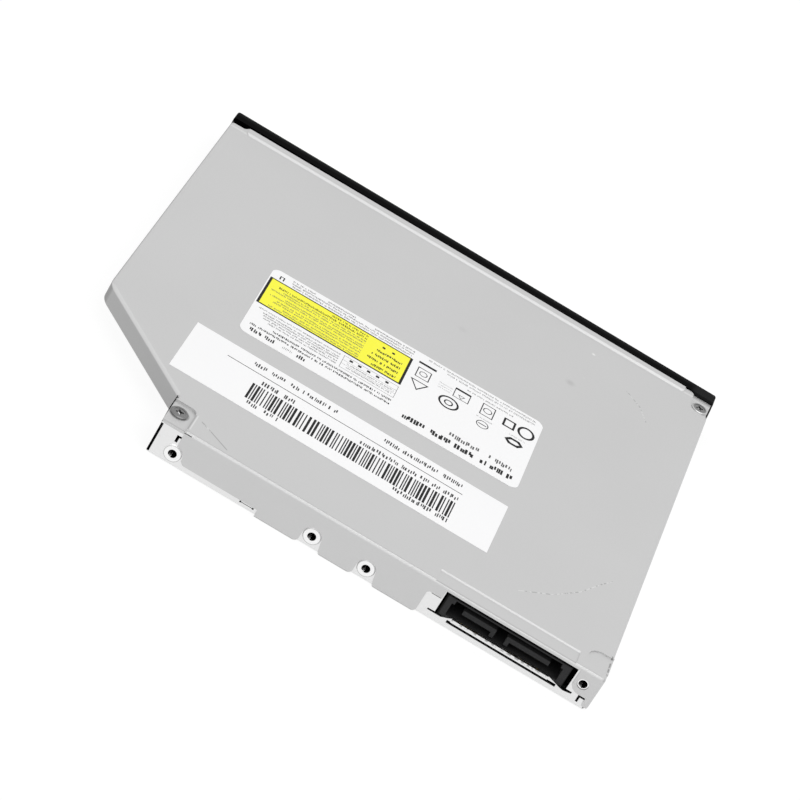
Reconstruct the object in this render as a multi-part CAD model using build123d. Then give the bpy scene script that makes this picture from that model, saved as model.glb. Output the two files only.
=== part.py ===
from build123d import *
import math
import os

# A slim tray-loading disc drive for notebooks, 9.5 mm high, modelled shut.
# X runs to the right as seen from the front, Y from the front to the rear and Z up.
# Y is counted from the front edge of the case. When a piece is written it moves forward by
# MIDDLE_Y, so that the origin lies on the underside, below the middle of the whole drive.

# Case
HEIGHT = 9.5
HALF_WIDTH = 64.0
SHEET = 0.45
COVER_TOP = 9.2
COVER_UNDER = COVER_TOP - SHEET
REAR_FACE = 126.6
CHASSIS_REAR = 126.1
BODY_RIGHT = 39.0
CHASSIS_HALF = HALF_WIDTH - SHEET - 0.05
CASE_FRONT = 0.3
WING_UNDER = 4.7
WING_CORNER_Y = 91.2
CHAMFER_END_Y = 115.9
WING_CORNER_R = 6.0
BEND = 0.75
WALL_TOP = 8.3
SKIRT_LOW = 0.1
POCKET_DEPTH = 0.45

# Front
BEZEL_FRONT = -4.0
BEZEL_REAR = -0.2
BEZEL_HALF = 64.1
BEZEL_WALL = 1.2
ARM_INNER = -63.62
STRIP_TURN = 0.6
MIDDLE_Y = (BEZEL_FRONT + REAR_FACE) / 2

# Cover screws and mounting nuts, as (X, Y) and as (X, Z) on the rear wall
REAR_SCREW = (37.0, 121.3)
FRONT_SCREW = (-61.5, 4.9)
REAR_NUTS = [(34.0, 2.9), (1.45, 2.9), (-11.2, 2.9)]
SIDE_NUT = (-60.5, 5.7)
NUT_BORE_R = 0.95
NUT_FLANGE_R = 2.0

# Connector in the rear wall
PLUG_LEFT = -58.2
PLUG_RIGHT = -27.5
PLUG_FRONT = 116.4
SKIRT_END = -24.0
LIP_TOP = 2.9
LIP_LOW = 2.15
TONGUE_Z = 4.95
CONTACT_PITCH = 1.27

# Stickers
LABEL_THICK = 0.08

# Disc, tray and slides
HUB_Y = 62.0
DISC_R = 60.0
RECESS_R = DISC_R + 0.4
SMALL_RECESS_R = 40.4
SEAT_Z = 6.9
TRAY_HALF = 61.0
TRAY_FLOOR = 5.3
TRAY_TOP = 6.1
RIM_TOP = 8.35
TRAY_FRONT = 0.4
TRAY_REAR = 124.2
DEEP_LEFT = -60.2
DEEP_RIGHT = 37.6
DEEP_REAR = 86.4
DEEP_UNDER = 1.55
LANE_LEFT = 32.6
LANE_FRONT = 16.0
RAIL_LOW = 5.75
RAIL_HIGH = 7.65
RAIL_SHEET = 0.4
RAIL_INNER = 61.2
RAIL_OUTER = 62.35

# Mechanism deck, turned so that its own X runs from the hub towards the front left corner
DECK_TURN = 225.0
DECK_LOW = 1.75
DECK_HIGH = 4.95
DECK_INNER = -17.0
DECK_OUTER = 68.6
DECK_LEFT = -20.0
DECK_RIGHT = 27.0
ROD_R = 1.0
ROD_SIDE = 16.0
ROD_Z = 3.6
ROD_ENDS = (9.5, 67.0)
LENS_HOME = 23.0
SCREW_SIDE = 22.5
SCREW_Z = 3.55
SCREW_R = 0.85
FOLLOWER = LENS_HOME - 3.0
SCREW_ENDS = (17.4, 57.3)
ROTOR_R = 11.5
TABLE_R = 15.0
CLAWS = 3
DECK_EARS = [((-20.0, -7.0), (-16.4, -7.0)), ((-7.0, 30.4), (-7.0, 26.4)), ((38.0, -23.4), (38.0, -19.4))]

# Board and the moving parts on the case
BOARD_LOW = 1.3
BOARD_THICK = 0.8
BOARD_TOP = BOARD_LOW + BOARD_THICK
BOARD_FRONT = 88.0
PUSHER_X = 27.0
PUSHER_Z = 3.2
LATCH_POST = (35.4, 19.0)
LEVER_PIVOT = (28.0, 14.0)
CABLE_LEFT = -40.0
CABLE_RIGHT = -20.0
CABLE_BEND_Y = 10.0

DECK = Pos(0, HUB_Y, 0) * Rot(0, 0, DECK_TURN)


def block(x0, x1, y0, y1, z0, z1):
    """A block between two corners."""
    return Pos((x0 + x1) / 2, (y0 + y1) / 2, (z0 + z1) / 2) * Box(x1 - x0, y1 - y0, z1 - z0)


def peg(x, y, r, z0, z1):
    """An upright cylinder."""
    return Pos(x, y, (z0 + z1) / 2) * Cylinder(r, z1 - z0)


def rod_y(x, z, r, y0, y1):
    """A cylinder that lies along Y."""
    return Pos(x, (y0 + y1) / 2, z) * Rot(90, 0, 0) * Cylinder(r, y1 - y0)


def rod_x(y, z, r, x0, x1):
    """A cylinder that lies along X."""
    return Pos((x0 + x1) / 2, y, z) * Rot(0, 90, 0) * Cylinder(r, x1 - x0)


def plate(points, z0, z1, radius=0):
    """A flat plate with a cornered outline, its corners rounded where a radius is given."""
    face = make_face(Polyline(*points, close=True))
    if radius:
        face = fillet(face.vertices(), radius)
    return Pos(0, 0, z0) * extrude(face, amount=z1 - z0)


def rounded(x0, x1, y0, y1, z0, z1, radius):
    """A block with its upright corners rounded."""
    face = RectangleRounded(x1 - x0, y1 - y0, radius)
    return Pos((x0 + x1) / 2, (y0 + y1) / 2, z0) * extrude(face, amount=z1 - z0)


def wall_cut(x, z, r, y0=124.0, y1=128.0):
    """A round hole through the rear wall."""
    return rod_y(x, z, r, y0, y1)


def wall_plate(points, y0=125.0, y1=128.0):
    """A block through the rear wall, with a cornered outline in X and Z."""
    face = make_face(Polyline(*[(x, y0, z) for x, z in points], close=True))
    return extrude(face, amount=y1 - y0, dir=(0, 1, 0))


def side_plate(points, x0, x1):
    """A block along X with a cornered outline in Y and Z."""
    face = make_face(Polyline(*[(x0, y, z) for y, z in points], close=True))
    return extrude(face, amount=x1 - x0, dir=(1, 0, 0))


def corner_off(x, z, side, r):
    """What rounding takes off a lower corner of the rear skirt: a square less a quarter round."""
    centre = x + side * r
    square = block(min(x - side * 0.3, centre), max(x - side * 0.3, centre), 125.0, 128.0, z - 1, z + r)
    return square - rod_y(centre, z + r, r, 124.0, 129.0)


def skirt_notch(x, z):
    """The opening in the rear skirt round a nut: a round top, one upright and one slanted side."""
    r = NUT_FLANGE_R + 0.15
    outline = [(x + r, z), (x + r, SKIRT_LOW - 0.5), (x - r - 0.6, SKIRT_LOW - 0.5), (x - r, z)]
    notch = wall_cut(x, z, r) + wall_plate(outline)
    notch += corner_off(x + r, SKIRT_LOW, 1, 1.1)
    return notch + corner_off(x - r - 0.5, SKIRT_LOW, -1, 0.5)


def save(name, *solids):
    """Write one piece, or a group of like pieces, in the drive's own frame."""
    shape = Pos(0, -MIDDLE_Y, 0) * (solids[0] if len(solids) == 1 else Compound(list(solids)))
    os.makedirs("parts", exist_ok=True)
    export_step(shape, f"parts/{name}.step")


def case_outline():
    """The case from above: a rectangle with the wing's rear corner cut off."""
    corners = [
        (HALF_WIDTH, 0),
        (HALF_WIDTH, WING_CORNER_Y),
        (BODY_RIGHT + 0.1, CHAMFER_END_Y),
        (BODY_RIGHT + 0.1, REAR_FACE),
        (-HALF_WIDTH, REAR_FACE),
        (-HALF_WIDTH, 0),
    ]
    face = make_face(Polyline(*corners, close=True))
    wing = [v for v in face.vertices() if abs(v.Y - WING_CORNER_Y) < 0.01]
    face = fillet(wing, WING_CORNER_R)
    rear = [v for v in face.vertices() if v.Y > REAR_FACE - 0.01]
    return fillet(rear, 1.0)


def pressed_shell(outline, low, high, bend):
    """A lid pressed from sheet: a top with skirts, all of one thickness, round at the bend."""
    outer = Pos(0, 0, low) * extrude(outline, amount=high - low)
    top = outer.faces().sort_by(Axis.Z)[-1]
    outer = fillet([e for e in top.edges() if e.center().Y > 0.5], bend)
    inner_face = offset(outline, amount=-SHEET)
    inner = Pos(0, 0, low - 1) * extrude(inner_face, amount=high - SHEET - low + 1)
    inner += block(-HALF_WIDTH + SHEET, HALF_WIDTH - SHEET, -1, 5, low - 1, high - SHEET)
    return outer - inner


def sunk_tab(x0, x1, y0, y1, depth, radius):
    """What a sunk place in the cover adds below and takes away above."""
    wall = 0.35
    add = rounded(x0 - wall, x1 + wall, y0 - wall, y1 + wall,
                  COVER_UNDER - depth, COVER_TOP - 0.02, radius + wall)
    cut = rounded(x0, x1, y0, y1, COVER_TOP - depth, COVER_TOP + 1, radius)
    return add, cut


def top_cover():
    """The pressed lid: raised front strip, sunk screw tabs and the stepped rear skirt."""
    lid = pressed_shell(case_outline(), SKIRT_LOW, COVER_TOP, BEND)
    reach = block(-HALF_WIDTH, HALF_WIDTH, 0.0, REAR_FACE, 0, HEIGHT)

    # Sunk places: rear screw tab, front screw corner, half-stadium at the side
    rear_x, rear_y = REAR_SCREW
    tabs = [
        sunk_tab(rear_x - 3.0, rear_x + 8.0, rear_y - 3.6, rear_y + 12, POCKET_DEPTH, 1.5),
        sunk_tab(-72.0, FRONT_SCREW[0] + 2.5, -6.0, FRONT_SCREW[1] + 2.5, POCKET_DEPTH, 2.4),
        sunk_tab(-74.0, -58.7, 117.9, 123.8, 0.25, 2.9),
    ]
    under = case_outline()
    column = Pos(0, 0, COVER_UNDER - 1) * extrude(under, amount=HEIGHT - COVER_UNDER + 1)
    for add, _ in tabs:
        lid += add & column
    for _, cut in tabs:
        lid -= cut
    lid &= reach

    # Shallow sloped step above the connector
    step_y = 121.7
    low = COVER_TOP - 0.2
    lid += block(-57.3, -24.3, step_y - 0.3, 126.2, COVER_UNDER - 0.2, COVER_UNDER + 0.05)
    slope = [(step_y, COVER_TOP), (step_y + 0.45, low), (127.0, low), (127.0, 10.0), (step_y, 10.0)]
    lid -= side_plate(slope, -57.0, -24.4)

    # Raised front strip with a sloped rear wall, hollow underneath, turned a little so that it
    # reaches the front edge at the left only
    turn = Pos(59.6, 0, 0) * Rot(0, 0, STRIP_TURN) * Pos(-59.6, 0, 0)
    strip = [(0.6, COVER_UNDER), (0.6, HEIGHT - 0.25), (0.85, HEIGHT), (2.9, HEIGHT),
             (3.7, COVER_TOP - 0.05), (3.7, COVER_UNDER)]
    hollow = [(-1.0, COVER_UNDER - 1), (-1.0, HEIGHT - SHEET), (2.6, HEIGHT - SHEET),
              (3.3, COVER_UNDER), (3.3, COVER_UNDER - 1)]
    bar = side_plate(strip, -56.6, 59.6) & rounded(-56.6, 59.6, -6, 3.7, 8, 10, 1.2)
    lid -= turn * block(-57.0, 60.0, -3, 0.6, COVER_UNDER - 0.3, 10)
    lid += (turn * bar) & block(-60, 60, 0.02, 5, 8, 10)
    lid -= turn * side_plate(hollow, -56.2, 59.2)
    lid -= block(-HALF_WIDTH, -59.3, -1, 0.25, 5, 10)
    lid -= plate([(59.9, -1), (65, -1), (65, 1.9), (60.6, 1.7), (59.9, 0.9)], COVER_UNDER - 0.3, 10)
    lid -= block(-59.0, -58.0, -0.5, 1.0, COVER_UNDER + 0.1, 10) - peg(-58.0, 1.0, 1.0, 8, 11)

    # Skirts: over the wing to its underside, along the left side to mid height
    lid -= block(BODY_RIGHT - 1, HALF_WIDTH + 1, -1, 127, -1, WING_UNDER)
    lid -= block(-HALF_WIDTH - 1, -60, -1, 104, -1, 5.0)
    lid -= rounded(-HALF_WIDTH - 1, -62.5, 20, 26, 3.0, 6.2, 0.4)
    lid -= rounded(-HALF_WIDTH - 1, -62.5, 70, 76, 3.0, 6.2, 0.4)

    # No skirt along the short wall behind the wing, and a short slit in the bend by the screw tab
    lid -= block(BODY_RIGHT - 0.8, BODY_RIGHT + 1, CHAMFER_END_Y + 0.3, 127, -1, COVER_UNDER - POCKET_DEPTH)
    lid -= block(32.3, 34.0, 126.2, 128, 8.6, 8.8)

    # The corner at the front screw is drawn in, to clear the arm of the bezel
    lid -= block(-HALF_WIDTH - 1, ARM_INNER + 0.1, -1, 6.9, -1, COVER_UNDER - POCKET_DEPTH)
    lid -= plate([(-65, -1), (-63.8, -1), (-63.5, 6.6), (-63.5, 7.2), (-HALF_WIDTH, 8.1),
                  (-65, 8.1)], COVER_UNDER - POCKET_DEPTH - 0.1, 10)

    # Rear skirt: cut away beside the screw tab, round the nuts and over the connector
    rear = 125.0, 128.0
    lid -= block(33.9, 40, *rear, -1, COVER_TOP - POCKET_DEPTH - SHEET)
    lid -= block(13.6, 40, *rear, -1, 1.75)
    lid -= wall_cut(*REAR_NUTS[0], NUT_FLANGE_R + 0.2)
    lid -= wall_plate([(40, 1.7), (30.9, 1.7), (31.35, 2.0), (31.8, 2.5), (31.8, 2.9), (40, 2.9)])
    for x, z in REAR_NUTS[1:]:
        lid -= skirt_notch(x, z)
    lid -= corner_off(SKIRT_END, SKIRT_LOW, 1, 1.0)
    lid -= wall_plate([(SKIRT_END, -1), (SKIRT_END, 5.7), (SKIRT_END - 0.5, 6.15),
                       (-28.0, 6.15), (-28.0, -1)])
    lid -= block(PLUG_LEFT - 0.4, -27.3, *rear, -1, 8.25)
    lid -= wall_plate([(PLUG_LEFT, -1), (PLUG_LEFT, 4.6), (-58.7, 4.3), (-59.1, 3.7), (-60.0, 3.2),
                       (-60.6, 3.1), (-62.5, 3.1), (-62.6, -1)])
    lid -= block(-65, -62.0, *rear, -1, 1.15)
    lid -= wall_cut(*SIDE_NUT, 1.25)
    lid -= peg(*REAR_SCREW, 1.0, 7, 10)
    lid -= peg(*FRONT_SCREW, 1.0, 7, 10)
    return lid


def bottom_chassis():
    """The lower pan: deep body, thin wing, rear wall with its cut-outs, embossed seats."""
    left, rear = -CHASSIS_HALF, CHASSIS_REAR
    outer = block(left, BODY_RIGHT, CASE_FRONT, rear, 0, WALL_TOP)
    corner = [e for e in outer.edges() if e.center().Y > rear - 0.01 and e.center().X < left + 0.01]
    outer = fillet(corner, 0.7)
    under = outer.faces().sort_by(Axis.Z)[0]
    outer = fillet([e for e in under.edges() if e.center().Y > 1], 0.6)
    inner = block(left + SHEET, BODY_RIGHT - SHEET, -1, rear - SHEET, SHEET, HEIGHT)
    pan = outer - inner

    # The right wall stays full height only behind the wing
    pan -= block(BODY_RIGHT - 2, BODY_RIGHT + 1, -1, CHAMFER_END_Y + 0.3, WING_UNDER + SHEET, 10)
    inset = SHEET + 0.05
    reach = block(BODY_RIGHT - SHEET, HALF_WIDTH, CASE_FRONT, CHAMFER_END_Y - 0.2, 0, HEIGHT)
    wing = offset(case_outline(), amount=-inset)
    hollow = offset(case_outline(), amount=-inset - SHEET)
    pan += (Pos(0, 0, WING_UNDER) * extrude(wing, amount=SHEET)) & reach
    flange = extrude(wing, amount=1.0) - extrude(hollow, amount=1.0)
    pan += (Pos(0, 0, WING_UNDER) * flange) & reach & block(45, 70, 1.0, 120, 0, 10)
    pan -= block(BODY_RIGHT - 0.5, BODY_RIGHT + 1, CHAMFER_END_Y + 0.35, rear + 1, SHEET, 9)

    # Screw tabs that are folded inward at the top of the walls
    x, y = REAR_SCREW
    tab_top = COVER_UNDER - POCKET_DEPTH
    pan += block(x - 3.0, BODY_RIGHT, y - 3.2, rear, tab_top - SHEET, tab_top)
    x, y = FRONT_SCREW
    pan += block(left, x + 1.4, y - 3.6, y + 2.2, tab_top - SHEET, tab_top)
    for x, y in (REAR_SCREW, FRONT_SCREW):
        pan -= peg(x, y, 0.62, 7, 9)

    # Embossed seats under the board and the latch post's seat
    for x, y in ((-59.0, 91.0), (14.5, 91.0), (14.5, 121.5)):
        pan += Pos(x, y, SHEET) * extrude(Circle(2.2), amount=BOARD_LOW - SHEET, taper=12)

    # Stiffening grooves pressed into the deep floor from below
    for x in (-45.0, 22.0):
        pan -= block(x - 3, x + 3, 8, 80, -0.1, 0.15)

    # Rear wall: connector, nuts, hook slots
    pan -= wall_plate([(PLUG_LEFT, 9), (PLUG_LEFT, 2.5), (-59.6, 2.5), (-59.6, 2.05), (-57.8, 1.75),
                       (-57.0, 1.9), (-54.0, LIP_TOP), (-31.2, LIP_TOP), (-30.4, 2.5), (-29.0, 1.95),
                       (-25.9, 1.95), (-25.9, 2.35), (PLUG_RIGHT, 2.4), (PLUG_RIGHT, 9)])
    pan -= block(-56.0, -30.5, 125, 127, 1.45, LIP_LOW)
    pan += block(-53.9, -31.3, rear - 0.1, rear + 0.25, LIP_LOW, LIP_TOP)
    pan -= block(-27.2, -25.0, 125, 127, 5.72, 5.88)

    # A thin relief slot beside the first nut, with a round at each end
    pan -= block(14.5, 17.4, 125, 127, 1.13, 1.27)
    for x in (14.5, 17.4):
        pan -= wall_cut(x, 1.2, 0.22)
    for x, z in REAR_NUTS + [SIDE_NUT]:
        pan -= wall_cut(x, z, 1.6)
    pan -= block(34.35, 34.95, 125, 127, 5.5, 7.2)
    pan -= block(33.2, 34.95, 125, 127, 6.75, 7.2)
    pan -= block(-61.5, -61.0, 125, 127, 1.1, 2.85)
    pan -= block(-62.5, -61.0, 125, 127, 2.35, 2.85)
    pan -= block(-63.35, -63.0, 125, 127, 0.3, 1.0)
    return pan


def cover_screws():
    """Two flat-headed screws with a cross recess."""
    top = COVER_TOP - POCKET_DEPTH
    screws = []
    for x, y in (REAR_SCREW, FRONT_SCREW):
        head = Pos(x, y, top) * extrude(Circle(1.95), amount=0.42)
        head = chamfer(head.faces().sort_by(Axis.Z)[-1].edges(), 0.16)
        head -= peg(x, y, 1.35, top + 0.34, top + 1)
        body = head + peg(x, y, 0.6, top - 0.92, top)
        for turn in (20, 110):
            body -= Pos(x, y, top + 0.34) * Rot(0, 0, turn) * Box(1.8, 0.42, 0.56)
        screws.append(body)
    return screws


def mount_nuts():
    """Flanged nuts clinched into the rear wall, each with a plain bore."""
    nuts = []
    for x, z in REAR_NUTS:
        nut = rod_y(x, z, NUT_FLANGE_R, CHASSIS_REAR, CHASSIS_REAR + 0.32)
        nut = chamfer(nut.faces().sort_by(Axis.Y)[-1].edges(), 0.12)
        nut += rod_y(x, z, 1.55, 122.4, CHASSIS_REAR)
        nuts.append(nut - rod_y(x, z, NUT_BORE_R, 122, 127))
    x, z = SIDE_NUT
    nut = rod_y(x, z, 1.15, CHASSIS_REAR, CHASSIS_REAR + 0.3)
    nut += rod_y(x, z, 1.55, 122.4, CHASSIS_REAR)
    nuts.append(nut - rod_y(x, z, NUT_BORE_R, 122, 127))
    return nuts


def sticker(centre_x, centre_y, width, depth, turn, radius):
    """A thin sticker on the cover."""
    face = RectangleRounded(width, depth, radius) if radius else Rectangle(width, depth)
    return Pos(centre_x, centre_y, COVER_TOP) * Rot(0, 0, turn) * extrude(face, amount=LABEL_THICK)


def contact_places():
    """The X of each contact: seven in the signal tongue, six in the power tongue."""
    signal = [-47.7 + CONTACT_PITCH * (i - 3) for i in range(7)]
    power = [-36.3 + CONTACT_PITCH * 0.92 * (i - 2.5) for i in range(6)]
    return signal + power


def connector_contacts():
    """Bent strips: flat under the tongue, down behind the housing, with a foot on the board."""
    under = TONGUE_Z - 0.55
    strips = []
    for x in contact_places():
        side = x - 0.35, x + 0.35
        strip = block(*side, PLUG_FRONT - 0.3, 124.6, under - 0.15, under)
        strip += block(*side, PLUG_FRONT - 0.3, PLUG_FRONT - 0.1, BOARD_TOP, under)
        strip += block(*side, PLUG_FRONT - 1.6, PLUG_FRONT - 0.1, BOARD_TOP, BOARD_TOP + 0.15)
        strips.append(strip)
    return strips


def connector_housing():
    """The black socket in the rear wall: an open box with two keyed tongues."""
    x0, x1 = PLUG_LEFT + 1.0, PLUG_RIGHT - 0.5
    shell = block(x0, x1, PLUG_FRONT, 125.6, BOARD_TOP, 7.3)
    shell -= block(x0 + 1.6, x1 - 1.6, PLUG_FRONT + 1.6, 127, 2.7, 6.8)
    back = PLUG_FRONT + 1.0
    tongues = [(-52.7, -42.7, -43.6), (-40.2, -32.5, -40.2)]
    for left, right, key in tongues:
        shell += block(left, right, back, 125.2, TONGUE_Z - 0.55, TONGUE_Z + 0.55)
        shell += block(key, key + 0.9, back, 125.2, 3.3, TONGUE_Z)
    for x in (x0 + 1.5, x1 - 2.2):
        shell += block(x, x + 0.7, back, 125.6, 5.8, 7.0)
    for strip in connector_contacts():
        shell -= strip
    return shell


def main_board():
    """The circuit board under the shallow rear of the tray."""
    outline = [(-62.2, BOARD_FRONT), (18.0, BOARD_FRONT), (18.0, 121.0), (20.0, 124.9),
               (-62.2, 124.9)]
    board = plate(outline, BOARD_LOW, BOARD_TOP)
    for x, z in REAR_NUTS[1:] + [SIDE_NUT]:
        board -= block(x - 2.4, x + 2.4, 122.0, 126, 0, 5)
    for x, y in ((-59.0, 91.0), (14.5, 91.0), (14.5, 119.0)):
        board -= peg(x, y, 0.8, 0, 5)
    return board


def board_chip(x, y, side_x, side_y, height):
    """A moulded chip with its rows of leads as one thin skirt."""
    body = block(x - side_x / 2, x + side_x / 2, y - side_y / 2, y + side_y / 2,
                 BOARD_TOP + 0.12, BOARD_TOP + height)
    body = chamfer(body.faces().sort_by(Axis.Z)[-1].edges(), 0.12)
    leads = block(x - side_x / 2 - 0.9, x + side_x / 2 + 0.9, y - side_y / 2 - 0.9,
                  y + side_y / 2 + 0.9, BOARD_TOP, BOARD_TOP + 0.15)
    return body + leads


def board_passives():
    """Small components in short rows round the chips."""
    parts = []
    rows = [(-56, 95, 5, 2.6), (-14, 96.5, 6, 2.4), (-58, 112, 4, 3.0), (4, 112, 5, 2.6)]
    for x0, y, count, pitch in rows:
        for i in range(count):
            x = x0 + i * pitch
            parts.append(block(x - 0.5, x + 0.5, y - 0.8, y + 0.8, BOARD_TOP, BOARD_TOP + 0.7))
    for x, y in ((-24.0, 112.0), (-18.0, 112.0)):
        parts.append(block(x - 1.8, x + 1.8, y - 1.4, y + 1.4, BOARD_TOP, BOARD_TOP + 1.9))
    return parts


def cable_socket(y0, y1, low, turned):
    """A flat cable socket: a slotted body with a flip bar along one side."""
    x0, x1 = CABLE_LEFT - 1.4, CABLE_RIGHT + 1.4
    body = block(x0, x1, y0, y1, low, low + 1.2)
    slot = (y0 - 1, y0 + 1.5) if turned else (y1 - 1.5, y1 + 1)
    body -= block(CABLE_LEFT - 0.1, CABLE_RIGHT + 0.1, *slot, low + 0.3, low + 0.5)
    return body


def slide_guide(side, y0, y1, foot):
    """A plastic channel on the case wall that holds a rail's back and both its edges."""
    back = block(RAIL_OUTER + 0.15, CHASSIS_HALF - SHEET, y0, y1, foot, 8.2)
    for low, high in ((WING_UNDER + SHEET + 0.05, RAIL_LOW - 0.15), (RAIL_HIGH + 0.15, 8.2)):
        back += block(RAIL_INNER, RAIL_OUTER + 0.3, y0, y1, low, high)
    return back if side > 0 else mirror(back, about=Plane.YZ)


def rail(side):
    """A steel strip folded to a channel that opens towards the tray, with stop ears."""
    y0, y1 = 1.6, 118.0 if side < 0 else 89.0
    body = block(RAIL_INNER, RAIL_OUTER, y0, y1, RAIL_LOW, RAIL_HIGH)
    body -= block(RAIL_INNER - 1, RAIL_OUTER - RAIL_SHEET, y0 - 1, y1 + 1,
                  RAIL_LOW + RAIL_SHEET, RAIL_HIGH - RAIL_SHEET)
    for y in (y0 + 8.0, y1 - 12.0):
        body -= block(RAIL_OUTER - 1, RAIL_OUTER + 1, y, y + 4, RAIL_LOW + 0.6, RAIL_HIGH - 0.6)
    return body if side > 0 else mirror(body, about=Plane.YZ)


def tray_outline():
    """The tray from above: wing chamfer on the right, a bay for the connector rear left."""
    return [(-TRAY_HALF, TRAY_FRONT), (TRAY_HALF, TRAY_FRONT), (TRAY_HALF, 91.4),
            (37.4, 114.9), (31.6, 114.9), (31.6, TRAY_REAR), (-26.2, TRAY_REAR),
            (-26.2, 115.6), (-TRAY_HALF, 115.6)]


def mechanism_opening(margin):
    """The opening for the mechanism: round at the hub, straight-sided along the sled's way."""
    hub = peg(0, HUB_Y, 17.6 - margin, 0, 12)
    way = DECK * block(0, 64.5 - margin, -15.0 + margin, 15.0 - margin, 0, 12)
    inside = peg(0, HUB_Y, 56.0 + 2.4 - margin, -1, 13)
    return hub + (way & inside)


def tray():
    """The moulded tray: disc recess, mechanism well, slide ribs and cable slot."""
    body = plate(tray_outline(), TRAY_FLOOR, RIM_TOP, 0.6)
    body -= peg(0, HUB_Y, RECESS_R, TRAY_TOP, RIM_TOP + 1)
    body -= peg(0, HUB_Y, SMALL_RECESS_R, TRAY_TOP - 0.35, RIM_TOP + 1)
    body -= block(-TRAY_HALF - 1, -58.2, -1, 130, RAIL_HIGH - 0.05, 10)

    # Finger bays beside the disc, as on any notebook tray
    for angle in (40, 140):
        x = 60.4 * math.cos(math.radians(angle))
        y = HUB_Y + 60.4 * math.sin(math.radians(angle))
        body -= peg(x, y, 5.0, TRAY_TOP, 10)

    # The well's walls, hung below the tray's floor
    x0, x1, y1 = -TRAY_HALF, DEEP_RIGHT, DEEP_REAR
    well = block(x0, x1, TRAY_FRONT, y1, DEEP_UNDER, TRAY_FLOOR)
    well -= block(LANE_LEFT, x1 + 1, LANE_FRONT, y1 + 1, 0, TRAY_FLOOR)
    room = block(DEEP_LEFT, x1 - 0.8, TRAY_FRONT + 1.0, y1 - 1.0, 0, TRAY_FLOOR)
    room -= block(LANE_LEFT - 0.8, x1 + 1, LANE_FRONT - 0.8, y1 + 1, 0, TRAY_FLOOR + 1)
    body += well - room

    # Ribs under the wing and the rear shelf
    for x in (44.0, 52.0):
        body += block(x, x + 0.8, 4, 86, TRAY_FLOOR - 0.05, TRAY_FLOOR + 0.1)
    body -= mechanism_opening(0)
    body -= DECK * rounded(40, 63.8, -7.2, 7.2, 0, TRAY_TOP + 0.15, 2.5)

    # Slide ribs that run inside the rails
    gap = RAIL_SHEET + 0.1
    for side, y_end in ((1, 90.6), (-1, 115.0)):
        rib = block(TRAY_HALF - 0.4, RAIL_OUTER - RAIL_SHEET - 0.1, 1.2, y_end,
                    RAIL_LOW + gap, RAIL_HIGH - gap)
        body += rib if side > 0 else mirror(rib, about=Plane.YZ)

    # Front: bars that the bezel clips over, and openings for stem, lamp and emergency pin
    for x0, x1 in ((-58, -40), (-20, 8), (42, 58)):
        body += block(x0, x1, BEZEL_FRONT + 1.6, TRAY_FRONT + 0.2, 5.4, 6.6)
    body -= block(28.7, 31.3, -1, 2, 2.3, 4.3)
    body -= block(16.8, 18.2, -1, 2, 2.5, 3.7)
    body -= rod_y(12.0, 3.1, 0.7, -1, 3)

    # Gap in the lane's wall for the latch hook
    body -= block(30.5, DEEP_RIGHT + 1, 14.6, 26.0, 2.1, 4.1)

    # Cable slot through the rear of the well, and seats for the deck's dampers
    body -= block(CABLE_LEFT - 0.4, CABLE_RIGHT + 0.4, 82.6, 84.6, 0, 3.0)
    for x, y in damper_places():
        body += peg(x, y, 2.4, DECK_HIGH + 0.05, TRAY_FLOOR + 0.1)
        body -= peg(x, y, 0.7, DECK_HIGH - 1, TRAY_FLOOR + 0.2)
    return body


def deck_point(along, across):
    """A point of the deck's own frame, in the drive's frame."""
    turn = math.radians(DECK_TURN)
    return (along * math.cos(turn) - across * math.sin(turn),
            HUB_Y + along * math.sin(turn) + across * math.cos(turn))


def damper_places():
    """Where the deck hangs: one ear behind the hub and one at each side further out."""
    return [deck_point(*ear) for ear, _ in DECK_EARS]


def deck_frame():
    """The die-cast deck: an open frame with rod seats, hub floor and three damper ears."""
    limit = block(DEEP_LEFT + 0.4, LANE_LEFT - 1.3, TRAY_FRONT + 1.5, DEEP_REAR - 1.5, 0, 9)
    full = DECK * block(DECK_INNER, DECK_OUTER, DECK_LEFT, DECK_RIGHT, DECK_LOW, DECK_HIGH)
    room = DECK * block(DECK_INNER + 1.3, DECK_OUTER - 1.3, DECK_LEFT + 1.3,
                        DECK_RIGHT - 1.3, DECK_LOW + 0.55, DECK_HIGH + 1)
    inner_limit = block(DEEP_LEFT + 1.7, LANE_LEFT - 2.6, TRAY_FRONT + 2.8, DEEP_REAR - 2.8, 0, 9)
    frame = (full & limit) - (room & inner_limit)
    frame -= DECK * block(15.2, 65.5, -13.6, 13.6, 0, DECK_LOW + 1)
    frame -= DECK * block(26.0, 58.0, 18.5, 25.0, 0, DECK_LOW + 1)

    # Seats for the rods at both ends, bored to hold them
    for across in (-ROD_SIDE, ROD_SIDE):
        for a0, a1 in ((ROD_ENDS[0] - 0.5, 12.2), (65.6, 67.3)):
            frame += (DECK * block(a0, a1, across - 2.2, across + 2.2, DECK_LOW, 4.9)) & limit
        frame -= DECK * rod_x(across, ROD_Z, ROD_R + 0.01, *ROD_ENDS)

    # Hub floor with the bearing's opening
    for ear, root in DECK_EARS:
        x, y = deck_point(*ear)
        frame += peg(x, y, 2.9, DECK_LOW + 1.0, DECK_LOW + 2.0)
        frame += plate_between((x, y), deck_point(*root), 3.4, DECK_LOW + 1.0, DECK_LOW + 2.0)
        frame -= peg(x, y, 1.95, 0, 9)
    frame -= peg(0, HUB_Y, 4.2, 0, 3)
    return frame


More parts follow.
